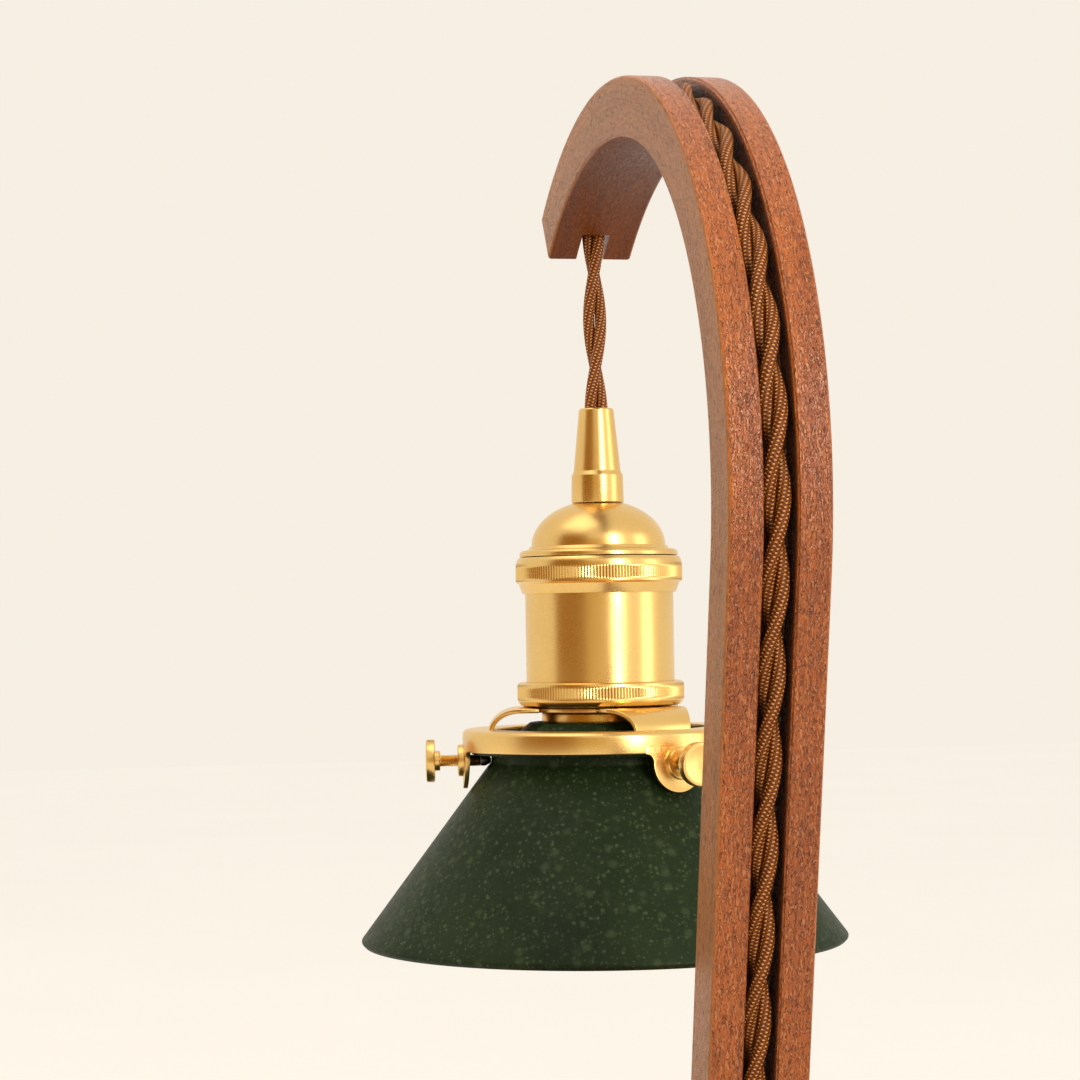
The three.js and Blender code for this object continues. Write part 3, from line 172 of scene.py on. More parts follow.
class WoodSettings(bpy.types.PropertyGroup):
    """The bent arch and the foot."""
    width: length("Arch width", 23 * MM, "Width of the bent strip")
    thickness: length("Arch thickness", 14.9 * MM, "Thickness of the bent strip")
    height: length("Arch top", 369.8 * MM, "Height of the arch's top above the table")
    crown_radius: length("Crown radius", 130.8 * MM, "Outer radius of the front bend")
    crown_setback: length("Crown setback", 59.9 * MM, "From the lamp's axis back to the crown's centre")
    shoulder_radius: length("Shoulder radius", 103.7 * MM, "Outer radius of the rear bend")
    front_angle: angle("Front angle", 124.2, "Where the arm ends, seen from the crown's centre")
    meet_angle: angle("Meeting angle", 75.6, "Where the two bends meet")
    lean: angle("Lean", 11.6, "How far the post leans back from upright")
    slot_run: length("Slot length", 10.6 * MM, "Length of the cord's slot on the arm's underside")
    slot_top_run: length("Slot top length", 22.5 * MM, "Length of the slot along the outer face")
    edge_round: length("Edge rounding", 0.9 * MM, "Rounding of the arch's long edges")
    groove_width: length("Groove width", 7.5 * MM, "Width of the cord's groove")
    groove_depth: length("Groove depth", 7.6 * MM, "Depth of the cord's groove")
    mouth: length("Groove arris", 0.35 * MM, "Ease of the groove's two upper edges")
    pale: colour("Pale grain", (0.53, 0.122, 0.007), "Lightest colour of the wood's face")
    deep: colour("Deep grain", (0.255, 0.046, 0.0022), "Darkest colour of the wood's face")
    side: colour("Side face", (0.54, 0.188, 0.047), "Colour of the arch's two flat side faces")
    # Painted highlight: a lighter orange laid along the arch's rounded edges.
    arris: colour("Eased edge", (0.60, 0.17, 0.022), "Painted highlight along the rounded edges")
    # Painted shade: a darker brown laid on the arch's inner face, under the arch.
    under: colour("Inner face", (0.195, 0.046, 0.003), "Painted shade on the arch's inner face")


class BrassSettings(bpy.types.PropertyGroup):
    """The lamp head, the gallery and its thumb screws."""
    knurls: IntProperty(name="Knurls", default=170, min=40, max=240,
                        description="Grooves round each knurled ring")
    knurl_depth: length("Knurl depth", 0.17 * MM, "Depth of the knurling")
    sheet: length("Sheet", 1.2 * MM, "Thickness of the gallery's sheet")
    arm_width: length("Arm width", 25 * MM, "Width of a gallery arm at the hub")
    arm_foot: length("Arm foot width", 17 * MM, "Width of a gallery arm where it meets the band")
    lug_width: length("Lug width", 15 * MM, "Width of the lug that holds a thumb screw")
    first_screw: angle("First screw", -10.6, "Direction of the first thumb screw")
    light: colour("Bright brass", (0.87, 0.585, 0.21), "Colour of the clean brass")
    dark: colour("Toned brass", (0.69, 0.42, 0.135), "Colour of the brass in its stains and corners")


class ShadeSettings(bpy.types.PropertyGroup):
    """The green cone shade."""
    wall: length("Wall", 3 * MM, "Thickness of the shade")
    speck: length("Speck spacing", 1.9 * MM, "Mean distance between the glaze's pale specks")
    ground: colour("Ground", (0.009, 0.0195, 0.0045), "Colour of the glaze")
    pale: colour("Specks", (0.125, 0.16, 0.075), "Colour of the pale specks")


class StageSettings(bpy.types.PropertyGroup):
    """Camera, floor and lamps."""
    lens: FloatProperty(name="Lens", default=91.26, min=20, max=300, unit="CAMERA",
                        description="Focal length on a 36 mm sensor")
    place: FloatVectorProperty(name="Camera place", default=(0.16807, 0.67617, 0.2364), size=3,
                               subtype="TRANSLATION", unit="LENGTH", description="Where the camera stands")
    ahead: FloatVectorProperty(name="Camera heading", default=(-0.2061, -0.9781, 0.0297), size=3,
                               subtype="DIRECTION", description="The way that the camera looks")
    roll: FloatProperty(name="Roll", default=-0.0158, subtype="ANGLE", unit="ROTATION",
                        description="The camera's turn about its own heading")
    backdrop: colour("Backdrop", (0.925, 0.862, 0.765), "Colour behind the lamp")
    floor: colour("Floor", (0.30, 0.273, 0.234), "Colour of the floor")
    sky: FloatProperty(name="Sky", default=0.72, min=0,
                       description="Strength of the even light from all round")
    key: FloatProperty(name="Key light", default=12, min=0, unit="POWER",
                       description="Power of the key light")
    side: FloatProperty(name="Side light", default=3, min=0, unit="POWER",
                        description="Power of the side light")
    fill: FloatProperty(name="Fill light", default=8, min=0, unit="POWER",
                        description="Power of the fill light")
    top: FloatProperty(name="Top light", default=5, min=0, unit="POWER", description="Power of the top light")


class LampSettings(bpy.types.PropertyGroup):
    """All the lamp's settings."""
    cord: PointerProperty(type=CordSettings, name="Cord", description="The twisted cord")
    wood: PointerProperty(type=WoodSettings, name="Wood", description="The arch and the foot")
    brass: PointerProperty(type=BrassSettings, name="Brass", description="The brass parts")
    shade: PointerProperty(type=ShadeSettings, name="Shade", description="The shade")
    stage: PointerProperty(type=StageSettings, name="Stage", description="Camera, floor and lamps")


def settings():
    return bpy.context.scene.lamp_settings


# Selecting and finishing
def nothing_selected():
    bpy.ops.object.select_all(action="DESELECT")


def alone(obj):
    """Makes an object the only selected one."""
    if bpy.context.object and bpy.context.object.mode != "OBJECT":
        bpy.ops.object.mode_set(mode="OBJECT")
    nothing_selected()
    obj.select_set(True)
    bpy.context.view_layer.objects.active = obj
    return obj


def added(name):
    """Names the primitive that was just added."""
    obj = bpy.context.object
    obj.name = name
    obj.data.name = name
    return obj


def edit(obj):
    """Opens an object in edit mode, with corners to be selected."""
    alone(obj)
    bpy.ops.object.mode_set(mode="EDIT")
    bpy.context.tool_settings.mesh_select_mode = (True, False, False)


def pick(test):
    """In edit mode, selects the corners whose places pass a test, and what lies between them."""
    mesh = bpy.context.edit_object.data
    bpy.ops.mesh.select_all(action="DESELECT")
    form = bmesh.from_edit_mesh(mesh)
    for vert in form.verts:
        vert.select_set(test(vert.co))
    form.select_flush(True)
    bmesh.update_edit_mesh(mesh)


def pick_faces(test):
    """In edit mode, selects the faces that pass a test of centre and normal."""
    mesh = bpy.context.edit_object.data
    bpy.ops.mesh.select_all(action="DESELECT")
    bpy.context.tool_settings.mesh_select_mode = (False, False, True)
    form = bmesh.from_edit_mesh(mesh)
    form.select_mode = {"FACE"}
    for face in form.faces:
        face.select_set(test(face.calc_center_median(), face.normal))
    bmesh.update_edit_mesh(mesh)


def pick_open_edges():
    """In edit mode, selects the edges that bound only one face or none."""
    mesh = bpy.context.edit_object.data
    bpy.ops.mesh.select_all(action="DESELECT")
    bpy.context.tool_settings.mesh_select_mode = (False, True, False)
    form = bmesh.from_edit_mesh(mesh)
    form.select_mode = {"EDGE"}
    for edge in form.edges:
        edge.select_set(edge.is_boundary)
    bmesh.update_edit_mesh(mesh)


def extrude(x=0.0, y=0.0, z=0.0):
    bpy.ops.mesh.extrude_region_move(TRANSFORM_OT_translate={"value": (x, y, z)})


def resize(scale, centre):
    bpy.ops.transform.resize(value=scale, center_override=centre)


def outwards():
    """Leaves edit mode with all faces turned outwards."""
    bpy.ops.mesh.select_all(action="SELECT")
    bpy.ops.mesh.remove_doubles(threshold=1e-6)
    bpy.ops.mesh.normals_make_consistent(inside=False)
    bpy.ops.object.mode_set(mode="OBJECT")


def place(obj, at=(0, 0, 0), turn=(0, 0, 0)):
    """Turns and moves an object, and leaves the object itself at the origin."""
    alone(obj)
    obj.rotation_euler = turn
    obj.location = at
    bpy.ops.object.transform_apply(location=True, rotation=True, scale=True)
    return obj


def modified(obj, kind, **values):
    """Adds a modifier and applies it."""
    alone(obj)
    modifier = obj.modifiers.new(kind.lower(), kind)
    for key, value in values.items():
        setattr(modifier, key, value)
    bpy.ops.object.modifier_apply(modifier=modifier.name)
    return obj


def carved(obj, *cutters, operation="DIFFERENCE"):
    """Cuts an object with others, which go away."""
    for cutter in cutters:
        modified(obj, "BOOLEAN", operation=operation, object=cutter, solver="EXACT")
        bpy.data.objects.remove(cutter)
    return obj


def rectangle(name, width, depth):
    """A flat rectangle in the XY plane."""
    nothing_selected()
    bpy.ops.mesh.primitive_plane_add(size=1)
    obj = added(name)
    obj.scale = (width, depth, 1)
    return place(obj)


def drill(name, radius, depth, at, turn, count=40):
    """A round cutter."""
    nothing_selected()
    bpy.ops.mesh.primitive_cylinder_add(vertices=count, radius=radius, depth=depth)
    return place(added(name), at, turn)


def copied(obj, name):
    """A copy with its own mesh."""
    copy = obj.copy()
    copy.data = obj.data.copy()
    copy.name = name
    bpy.context.scene.collection.objects.link(copy)
    return copy


def joined(obj, *others):
    alone(obj)
    for other in others:
        other.select_set(True)
    bpy.ops.object.join()
    return obj


def smooth(obj, angle=35):
    alone(obj)
    bpy.ops.object.shade_smooth_by_angle(angle=angle * DEGREES)
    return obj


def flatter(obj):
    """Keeps broad faces flat beside narrow roundings."""
    return modified(obj, "WEIGHTED_NORMAL", weight=50, keep_sharp=True)


def fitted(obj, finish, *nodes, angle=35, ride=True):
    """Finishes a piece that stands for CAD nodes: its shading and finish, and their body and slot."""
    smooth(obj, angle)
    obj.data.materials.clear()
    obj.data.materials.append(finish_named(finish))
    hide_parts(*nodes)
    if ride:
        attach(obj, frame["nodes"][nodes[0]]["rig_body"])
    return obj


# Outlines
def eased(corners, closed=False, steps=5):
    """An outline of (x, y) or (x, y, rounding) corners, with each rounding drawn as an arc."""
    points = []
    for i, corner in enumerate(corners):
        here = Vector(corner[:2])
        at_end = not closed and i in (0, len(corners) - 1)
        if len(corner) == 2 or at_end:
            points.append(here)
            continue
        before = (Vector(corners[i - 1][:2]) - here).normalized()
        after = (Vector(corners[(i + 1) % len(corners)][:2]) - here).normalized()
        half = before.angle(after) / 2
        centre = here + (before + after).normalized() * corner[2] / math.sin(half)
        start = here + before * corner[2] / math.tan(half) - centre
        end = here + after * corner[2] / math.tan(half) - centre
        sweep = start.angle_signed(end)
        for k in range(steps + 1):
            points.append(centre + Matrix.Rotation(-sweep * k / steps, 2) @ start)
    return [tuple(point) for point in points]


def turned(name, outline, count=96, closed=False):
    """A closed solid turned about the Z axis: a ring is drawn along (radius, height) points."""
    radius, height = outline[0]
    nothing_selected()
    bpy.ops.mesh.primitive_circle_add(vertices=count, radius=radius, location=(0, 0, height))
    obj = place(added(name), (0, 0, height))
    edit(obj)
    bpy.ops.mesh.select_all(action="SELECT")
    for next_radius, next_height in outline[1:]:
        extrude(z=next_height - height)
        share = next_radius / radius
        resize((share, share, 1), (0, 0, next_height))
        radius, height = next_radius, next_height
    pick_open_edges()
    if closed:
        bpy.ops.mesh.bridge_edge_loops()
    else:
        bpy.ops.mesh.fill_holes(sides=0)
    outwards()
    return obj


def on_lamp_axis(obj):
    return place(obj, (0, LAMP_Y, 0))


def slab(name, width, depth, corner, foot, top, rounding=0.0, side=1, steps=6, edge_steps=3):
    """A plate with round corners, drawn up from its outline, with its upper or its lower edges rounded."""
    nothing_selected()
    bpy.ops.mesh.primitive_plane_add(size=1, location=(0, 0, foot))
    obj = added(name)
    obj.scale = (width, depth, 1)
    place(obj, (0, 0, foot))
    edit(obj)
    bpy.ops.mesh.select_all(action="SELECT")
    if corner:
        bpy.ops.mesh.bevel(offset=corner, segments=steps, affect="VERTICES")
    bpy.ops.mesh.select_all(action="SELECT")
    extrude(z=top - foot)
    if rounding:
        pick_faces(lambda centre, normal: abs(centre.z - (top if side > 0 else foot)) < 1e-6)
        bpy.ops.mesh.region_to_loop()
        bpy.ops.mesh.bevel(offset=rounding, segments=edge_steps)
    outwards()
    return obj


# Shader helpers
def node(tree, kind, inputs=(), out=0, **values):
    """Adds a shader node with its inputs linked or set, and returns one of its outputs."""
    made = tree.nodes.new("ShaderNode" + kind)
    for key, value in values.items():
        setattr(made, key, value)
    pairs = inputs.items() if isinstance(inputs, dict) else enumerate(inputs)
    for key, value in pairs:
        if isinstance(value, bpy.types.NodeSocket):
            tree.links.new(value, made.inputs[key])
        else:
            made.inputs[key].default_value = value
    return made.outputs[out]


def maths(tree, operation, *values):
    return node(tree, "Math", values, operation=operation)


def mixed(tree, share, first, second):
    """A colour between two others."""
    made = tree.nodes.new("ShaderNodeMix")
    made.data_type = "RGBA"
    for index, value in ((0, share), (6, first), (7, second)):
        if isinstance(value, bpy.types.NodeSocket):
            tree.links.new(value, made.inputs[index])
        else:
            made.inputs[index].default_value = (*value, 1) if index else value
    return made.outputs[2]


def ranged(tree, value, start, end, first=0.0, last=1.0):
    """A value eased from one range to another."""
    return node(tree, "MapRange", {"Value": value, "From Min": start, "From Max": end,
                                   "To Min": first, "To Max": last}, interpolation_type="SMOOTHSTEP")


def noise(tree, vector, scale, detail=2.0, roughness=0.5, distortion=0.0):
    return node(tree, "TexNoise", {"Vector": vector, "Scale": scale, "Detail": detail,
                                   "Roughness": roughness, "Distortion": distortion})


def stretched(tree, vector, scale, at=(0, 0, 0)):
    return node(tree, "Mapping", {"Vector": vector, "Scale": scale, "Location": at})


def object_place(tree):
    return node(tree, "TexCoord", out=3)


def group_of(name, inputs, outputs, build):
    """A node group built once; build gets the tree and its inputs and returns its outputs."""
    tree = bpy.data.node_groups.get(name)
    if tree is None:
        tree = bpy.data.node_groups.new(name, "ShaderNodeTree")
        for label, kind, value in inputs:
            made = tree.interface.new_socket(name=label, in_out="INPUT", socket_type="NodeSocket" + kind)
            if value is not None:
                made.default_value = value
        for label, kind in outputs:
            tree.interface.new_socket(name=label, in_out="OUTPUT", socket_type="NodeSocket" + kind)
        start = tree.nodes.new("NodeGroupInput")
        end = tree.nodes.new("NodeGroupOutput")
        results = build(tree, {socket.name: socket for socket in start.outputs if socket.name})
        for index, result in enumerate(results):
            tree.links.new(result, end.inputs[index])
    return tree


def grouped(tree, group, **inputs):
    """Places a node group in a material and returns its outputs by name."""
    made = tree.nodes.new("ShaderNodeGroup")
    made.node_tree = group
    for key, value in inputs.items():
        socket = made.inputs[key.replace("_", " ").capitalize()]
        if isinstance(value, bpy.types.NodeSocket):
            tree.links.new(value, socket)
        else:
            socket.default_value = value
    return {socket.name: socket for socket in made.outputs}


def new_material(name):
    """A material with its tree and its plain shader."""
    material = bpy.data.materials.new(name)
    material.use_nodes = True
    tree = material.node_tree
    shader = tree.nodes["Principled BSDF"]
    return material, tree, shader


def plug_in(tree, shader, **inputs):
    """Sets or links the shader's sockets; Base_Color stands for Base Color."""
    for key, value in inputs.items():
        socket = shader.inputs[key.replace("_", " ")]
        if isinstance(value, bpy.types.NodeSocket):
            tree.links.new(value, socket)
        else:
            socket.default_value = value


def bumped(tree, height, distance, strength=1.0):
    return node(tree, "Bump", {"Height": height, "Distance": distance, "Strength": strength})


# Node groups
def tone_group():
    """Slow and fine variation that no real surface is without: Tone is 0 to 1, Grit a fine height."""
    def build(tree, inputs):
        slow = noise(tree, inputs["Vector"], inputs["Scale"], 3.0, 0.6)
        fine = noise(tree, inputs["Vector"], maths(tree, "MULTIPLY", inputs["Scale"], 14.0), 4.0, 0.7)
        tone = maths(tree, "ADD", maths(tree, "MULTIPLY", slow, 0.75), maths(tree, "MULTIPLY", fine, 0.25))
        return ranged(tree, tone, 0.32, 0.68), fine
    return group_of("tone", [("Vector", "Vector", None), ("Scale", "Float", 40.0)],
                    [("Tone", "Float"), ("Grit", "Float")], build)


def wood_group():
    """Figured wood in straightened coordinates: X across, Y into the wood, Z along the grain, in metres."""
    def build(tree, inputs):
        place_in = inputs["Vector"]
        fibre = noise(tree, stretched(tree, place_in, (1500, 1500, 70)), 1.0, 3.0, 0.62, 0.3)
        band = noise(tree, stretched(tree, place_in, (150, 150, 9)), 1.0, 2.0, 0.5, 0.6)
        curl = noise(tree, stretched(tree, place_in, (2100, 2100, 640)), 1.0, 1.5, 0.5, 0.9)
        breaks = noise(tree, stretched(tree, place_in, (1300, 1300, 430), (3, 1, 7)), 1.0, 1.0, 0.5)
        line = ranged(tree, maths(tree, "ABSOLUTE", maths(tree, "SUBTRACT", curl, 0.49)), 0.008, 0.036, 1, 0)
        pores = maths(tree, "MULTIPLY", line, ranged(tree, breaks, 0.40, 0.54))
        tone = maths(tree, "ADD", maths(tree, "MULTIPLY", fibre, 0.55), maths(tree, "MULTIPLY", band, 0.45))
        light = ranged(tree, tone, 0.36, 0.64)
        height = maths(tree, "SUBTRACT", maths(tree, "ADD", maths(tree, "MULTIPLY", fibre, 0.35),
                       maths(tree, "MULTIPLY", curl, 0.9)), pores)
        glints = maths(tree, "MULTIPLY", ranged(tree, curl, 0.53, 0.59), ranged(tree, breaks, 0.40, 0.54))
        return light, pores, height, glints
    return group_of("wood figure", [("Vector", "Vector", None)],
                    [("Light", "Float"), ("Pores", "Float"), ("Height", "Float"), ("Glints", "Float")], build)


def lathe_group():
    """Fine lines left by turning, round an upright axis at the place given by Centre."""
    def build(tree, inputs):
        from_axis = node(tree, "VectorMath", (inputs["Vector"], inputs["Centre"]), operation="SUBTRACT")
        parts = tree.nodes.new("ShaderNodeSeparateXYZ")
        tree.links.new(from_axis, parts.inputs[0])
        round_axis = maths(tree, "SQRT", maths(tree, "ADD", maths(tree, "MULTIPLY", parts.outputs[0],
                           parts.outputs[0]), maths(tree, "MULTIPLY", parts.outputs[1], parts.outputs[1])))
        ring = node(tree, "CombineXYZ", (maths(tree, "MULTIPLY", round_axis, 5200.0), 0.0,
                                         maths(tree, "MULTIPLY", parts.outputs[2], 5200.0)))
        lines = noise(tree, ring, 1.0, 3.0, 0.7)
        return (lines,)
    return group_of("lathe lines", [("Vector", "Vector", None), ("Centre", "Vector", None)],
                    [("Lines", "Float")], build)


def braid_group():
    """A braided cover on the piece's own UV map: U once round the strand, V in braid pitches."""
    def build(tree, inputs):
        parts = tree.nodes.new("ShaderNodeSeparateXYZ")
        tree.links.new(inputs["Vector"], parts.inputs[0])
        around = maths(tree, "MULTIPLY", parts.outputs[0], inputs["Carriers"])
        row = maths(tree, "COSINE", maths(tree, "MULTIPLY", around, 2 * math.pi))
        along = maths(tree, "COSINE", maths(tree, "MULTIPLY", parts.outputs[1], 2 * math.pi))
        narrow = maths(tree, "MULTIPLY", row, maths(tree, "MULTIPLY", row, row))
        beads = maths(tree, "MULTIPLY", maths(tree, "MULTIPLY", narrow, along), -1.0)
        beads = maths(tree, "MAXIMUM", beads, 0.0)
        thread = maths(tree, "ADD", maths(tree, "MULTIPLY", around, 2.0), parts.outputs[1])
        thread = maths(tree, "SINE", maths(tree, "MULTIPLY", thread, 2 * math.pi))
        yarn = noise(tree, stretched(tree, inputs["Vector"], (40, 3, 1)), 1.0, 2.0, 0.6)
        return beads, maths(tree, "MULTIPLY_ADD", thread, 0.5, 0.5), yarn
    return group_of("braid", [("Vector", "Vector", None), ("Carriers", "Float", 4.0)],
                    [("Beads", "Float"), ("Thread", "Float"), ("Yarn", "Float")], build)


# Materials
def wood_material():
    """The arch's wood: its face, grey side faces, dark groove and orange eased edges."""
    own = settings().wood
    material, tree, shader = new_material("wood_of_arch")
    straight = node(tree, "Attribute", out=1, attribute_name="grain")
    figure = grouped(tree, wood_group(), Vector=straight)
    tone = grouped(tree, tone_group(), Vector=straight, Scale=22.0)
    parts = tree.nodes.new("ShaderNodeSeparateXYZ")
    tree.links.new(straight, parts.inputs[0])
    across = maths(tree, "ABSOLUTE", parts.outputs[0])
    depth = parts.outputs[1]
    half = high("arch").x
    thick = own.thickness
    face = mixed(tree, figure["Light"], own.deep, own.pale)
    face = mixed(tree, maths(tree, "MULTIPLY", tone["Tone"], 0.35), face, own.pale)
    side = mixed(tree, maths(tree, "MULTIPLY", figure["Light"], 0.45), (0.32, 0.122, 0.036), own.side)
    on_side = ranged(tree, across, half - 0.45 * MM, half - 0.1 * MM)
    body = mixed(tree, on_side, face, side)
    # Painted shade: the inner face under the arch is darkened towards the under colour.
    on_inner = maths(tree, "MULTIPLY", ranged(tree, depth, thick - 0.5 * MM, thick - 0.15 * MM), 0.72)
    body = mixed(tree, on_inner, body, own.under)
    plainer = maths(tree, "MAXIMUM", on_side, on_inner)
    side_pores = noise(tree, stretched(tree, straight, (1200, 1200, 330)), 1.0, 1.5, 0.5, 0.3)
    side_pores = maths(tree, "MULTIPLY", ranged(tree, side_pores, 0.59, 0.66),
                       maths(tree, "MULTIPLY", on_side, 0.6))
    body = mixed(tree, side_pores, body, (0.11, 0.04, 0.016))
    body = mixed(tree, maths(tree, "MULTIPLY", figure["Glints"], ranged(tree, plainer, 0, 1, 0.36, 0.1)),
                 body, (0.70, 0.30, 0.11))
    body = mixed(tree, maths(tree, "MULTIPLY", figure["Pores"], ranged(tree, plainer, 0, 1, 0.45, 0.42)),
                 body, (0.06, 0.019, 0.008))
    from_side = maths(tree, "SUBTRACT", half, across)
    to_face = maths(tree, "MINIMUM", depth, maths(tree, "SUBTRACT", thick, depth))
    corner = maths(tree, "ADD", maths(tree, "MAXIMUM", from_side, 0.0), maths(tree, "MAXIMUM", to_face, 0.0))
    # Painted highlight: the eased edges are lightened towards the arris colour.
    arris = ranged(tree, corner, 0.5 * MM, 0.68 * MM, 1, 0)
    body = mixed(tree, maths(tree, "MULTIPLY", arris, 0.55), body, own.arris)
    # Painted shade: the groove's walls and floor are darkened to near black.
    in_groove = maths(tree, "MULTIPLY", ranged(tree, across, own.groove_width / 2 + 0.45 * MM,
                      own.groove_width / 2 + 0.2 * MM), ranged(tree, depth, 0.25 * MM, 2.5 * MM))
    in_groove = maths(tree, "MULTIPLY", in_groove, ranged(tree, depth, own.groove_depth + 0.2 * MM,
                      own.groove_depth + 0.5 * MM, 1, 0))
    body = mixed(tree, maths(tree, "MULTIPLY", in_groove, 0.85), body, (0.022, 0.006, 0.003))
    rough = ranged(tree, figure["Height"], -0.6, 0.8, 0.46, 0.23)
    gloss = ranged(tree, plainer, 0, 1, 0.58, 0.1)
    plug_in(tree, shader, Base_Color=body, Roughness=rough, Specular_IOR_Level=gloss,
            Normal=bumped(tree, figure["Height"], 0.4 * MM, ranged(tree, plainer, 0, 1, 1.0, 0.4)))
    return material


def foot_material():
    """The same wood on the foot, with its grain along X."""
    own = settings().wood
    material, tree, shader = new_material("wood_of_foot")
    turned_grain = node(tree, "Mapping", {"Vector": object_place(tree), "Rotation": (0, 90 * DEGREES, 0)})
    figure = grouped(tree, wood_group(), Vector=turned_grain)
    face = mixed(tree, figure["Light"], own.deep, own.pale)
    face = mixed(tree, maths(tree, "MULTIPLY", figure["Pores"], 0.45), face, (0.06, 0.019, 0.008))
    plug_in(tree, shader, Base_Color=face, Roughness=ranged(tree, figure["Height"], -0.6, 0.8, 0.5, 0.27),
            Specular_IOR_Level=0.4, Normal=bumped(tree, figure["Height"], 0.34 * MM, 0.95))
    return material


def brass_material(name="brass_turned", rough=0.23, lines=0.5):
    """Satin brass with turning lines, slight staining and a varying polish."""
    own = settings().brass
    material, tree, shader = new_material(name)
    here = object_place(tree)
    tone = grouped(tree, tone_group(), Vector=here, Scale=55.0)
    lathe = grouped(tree, lathe_group(), Vector=here, Centre=(0, LAMP_Y, 0))
    colour_now = mixed(tree, maths(tree, "MULTIPLY", tone["Tone"], 0.3), own.light, own.dark)
    polish = maths(tree, "ADD", ranged(tree, tone["Tone"], 0, 1, rough - 0.01, rough + 0.03),
                   maths(tree, "MULTIPLY", lathe["Lines"], 0.08))
    plug_in(tree, shader, Base_Color=colour_now, Metallic=1.0, Roughness=polish,
            Normal=bumped(tree, lathe["Lines"], 0.012 * MM, lines))
    return material


def cord_material():
    """Golden brown braided cover, bright where the yarn stands up."""
    own = settings().cord
    material, tree, shader = new_material("cord_braid")
    uv = node(tree, "UVMap", uv_map="UVMap")
    braid = grouped(tree, braid_group(), Vector=uv, Carriers=float(own.carriers))
    # Painted shade: the braid's valleys are darkened towards the dark colour.
    body = mixed(tree, ranged(tree, braid["Thread"], 0.0, 0.8), own.dark, own.middle)
    body = mixed(tree, maths(tree, "MULTIPLY", ranged(tree, braid["Yarn"], 0.35, 0.65), 0.4), body,
                 own.middle)
    # Painted highlight: the raised beads are lightened towards the light colour.
    body = mixed(tree, maths(tree, "MULTIPLY", ranged(tree, braid["Beads"], 0.1, 0.6), 0.85), body, own.light)
    height = maths(tree, "ADD", braid["Beads"], maths(tree, "MULTIPLY", braid["Thread"], 0.35))
    plug_in(tree, shader, Base_Color=body, Roughness=ranged(tree, braid["Yarn"], 0.3, 0.7, 0.6, 0.4),
            Specular_IOR_Level=0.25, Normal=bumped(tree, height, own.relief, 0.9))
    return material


def shade_material():
    """Deep green glaze with sparse pale specks of several sizes."""
    own = settings().shade
    material, tree, shader = new_material("shade_glaze")
    here = object_place(tree)
    tone = grouped(tree, tone_group(), Vector=here, Scale=38.0)
    warped = node(tree, "VectorMath", (here, node(tree, "VectorMath", (
        node(tree, "TexNoise", {"Vector": here, "Scale": 700.0, "Detail": 2.0}, out=1),
        (0.0011, 0.0011, 0.0011)), operation="MULTIPLY")), operation="ADD")
    specks = None
    for spacing, size, strength in ((0.8, 0.2, 0.38), (0.5, 0.2, 0.32), (1.7, 0.22, 0.24)):
        cell = tree.nodes.new("ShaderNodeTexVoronoi")
        cell.inputs["Scale"].default_value = 1 / (own.speck * spacing)
        tree.links.new(warped, cell.inputs["Vector"])
        chosen = ranged(tree, node(tree, "SeparateColor", (cell.outputs["Color"],)), 0.55, 0.9)
        dot = ranged(tree, cell.outputs["Distance"], size * 0.4, size * 2.6, 1, 0)
        dot = maths(tree, "MULTIPLY", maths(tree, "MULTIPLY", dot, chosen), strength)
        specks = dot if specks is None else maths(tree, "MAXIMUM", specks, dot)
    ground = mixed(tree, maths(tree, "MULTIPLY", tone["Tone"], 0.5), own.ground, (0.024, 0.039, 0.013))
    body = mixed(tree, specks, ground, own.pale)
    plug_in(tree, shader, Base_Color=body, Roughness=ranged(tree, tone["Grit"], 0.3, 0.7, 0.56, 0.44),
            Specular_IOR_Level=0.13,
            Normal=bumped(tree, tone["Grit"], 0.05 * MM, 0.5))
    return material


def plain_material(name, base, other, rough=0.5, metal=0.0, scale=60.0, grit=0.03, **sockets):
    """A moulded, cast or rolled surface whose colour, gloss and fine relief vary a little."""
    material, tree, shader = new_material(name)
    tone = grouped(tree, tone_group(), Vector=object_place(tree), Scale=scale)
    plug_in(tree, shader, Base_Color=mixed(tree, tone["Tone"], base, other), Metallic=metal,
            Roughness=ranged(tree, tone["Tone"], 0, 1, rough - 0.06, rough + 0.06),
            Normal=bumped(tree, tone["Grit"], grit * MM, 0.6), **sockets)
    return material


def lens_material():
    """The bulb's front glass, faintly frosted."""
    material, tree, shader = new_material("bulb_front_glass")
    tone = grouped(tree, tone_group(), Vector=object_place(tree), Scale=260.0)
    plug_in(tree, shader, Base_Color=(0.93, 0.95, 0.96, 1), Transmission_Weight=1.0, IOR=1.46,
            Roughness=ranged(tree, tone["Tone"], 0, 1, 0.10, 0.2),
            Normal=bumped(tree, tone["Grit"], 0.06 * MM, 0.5))
    return material


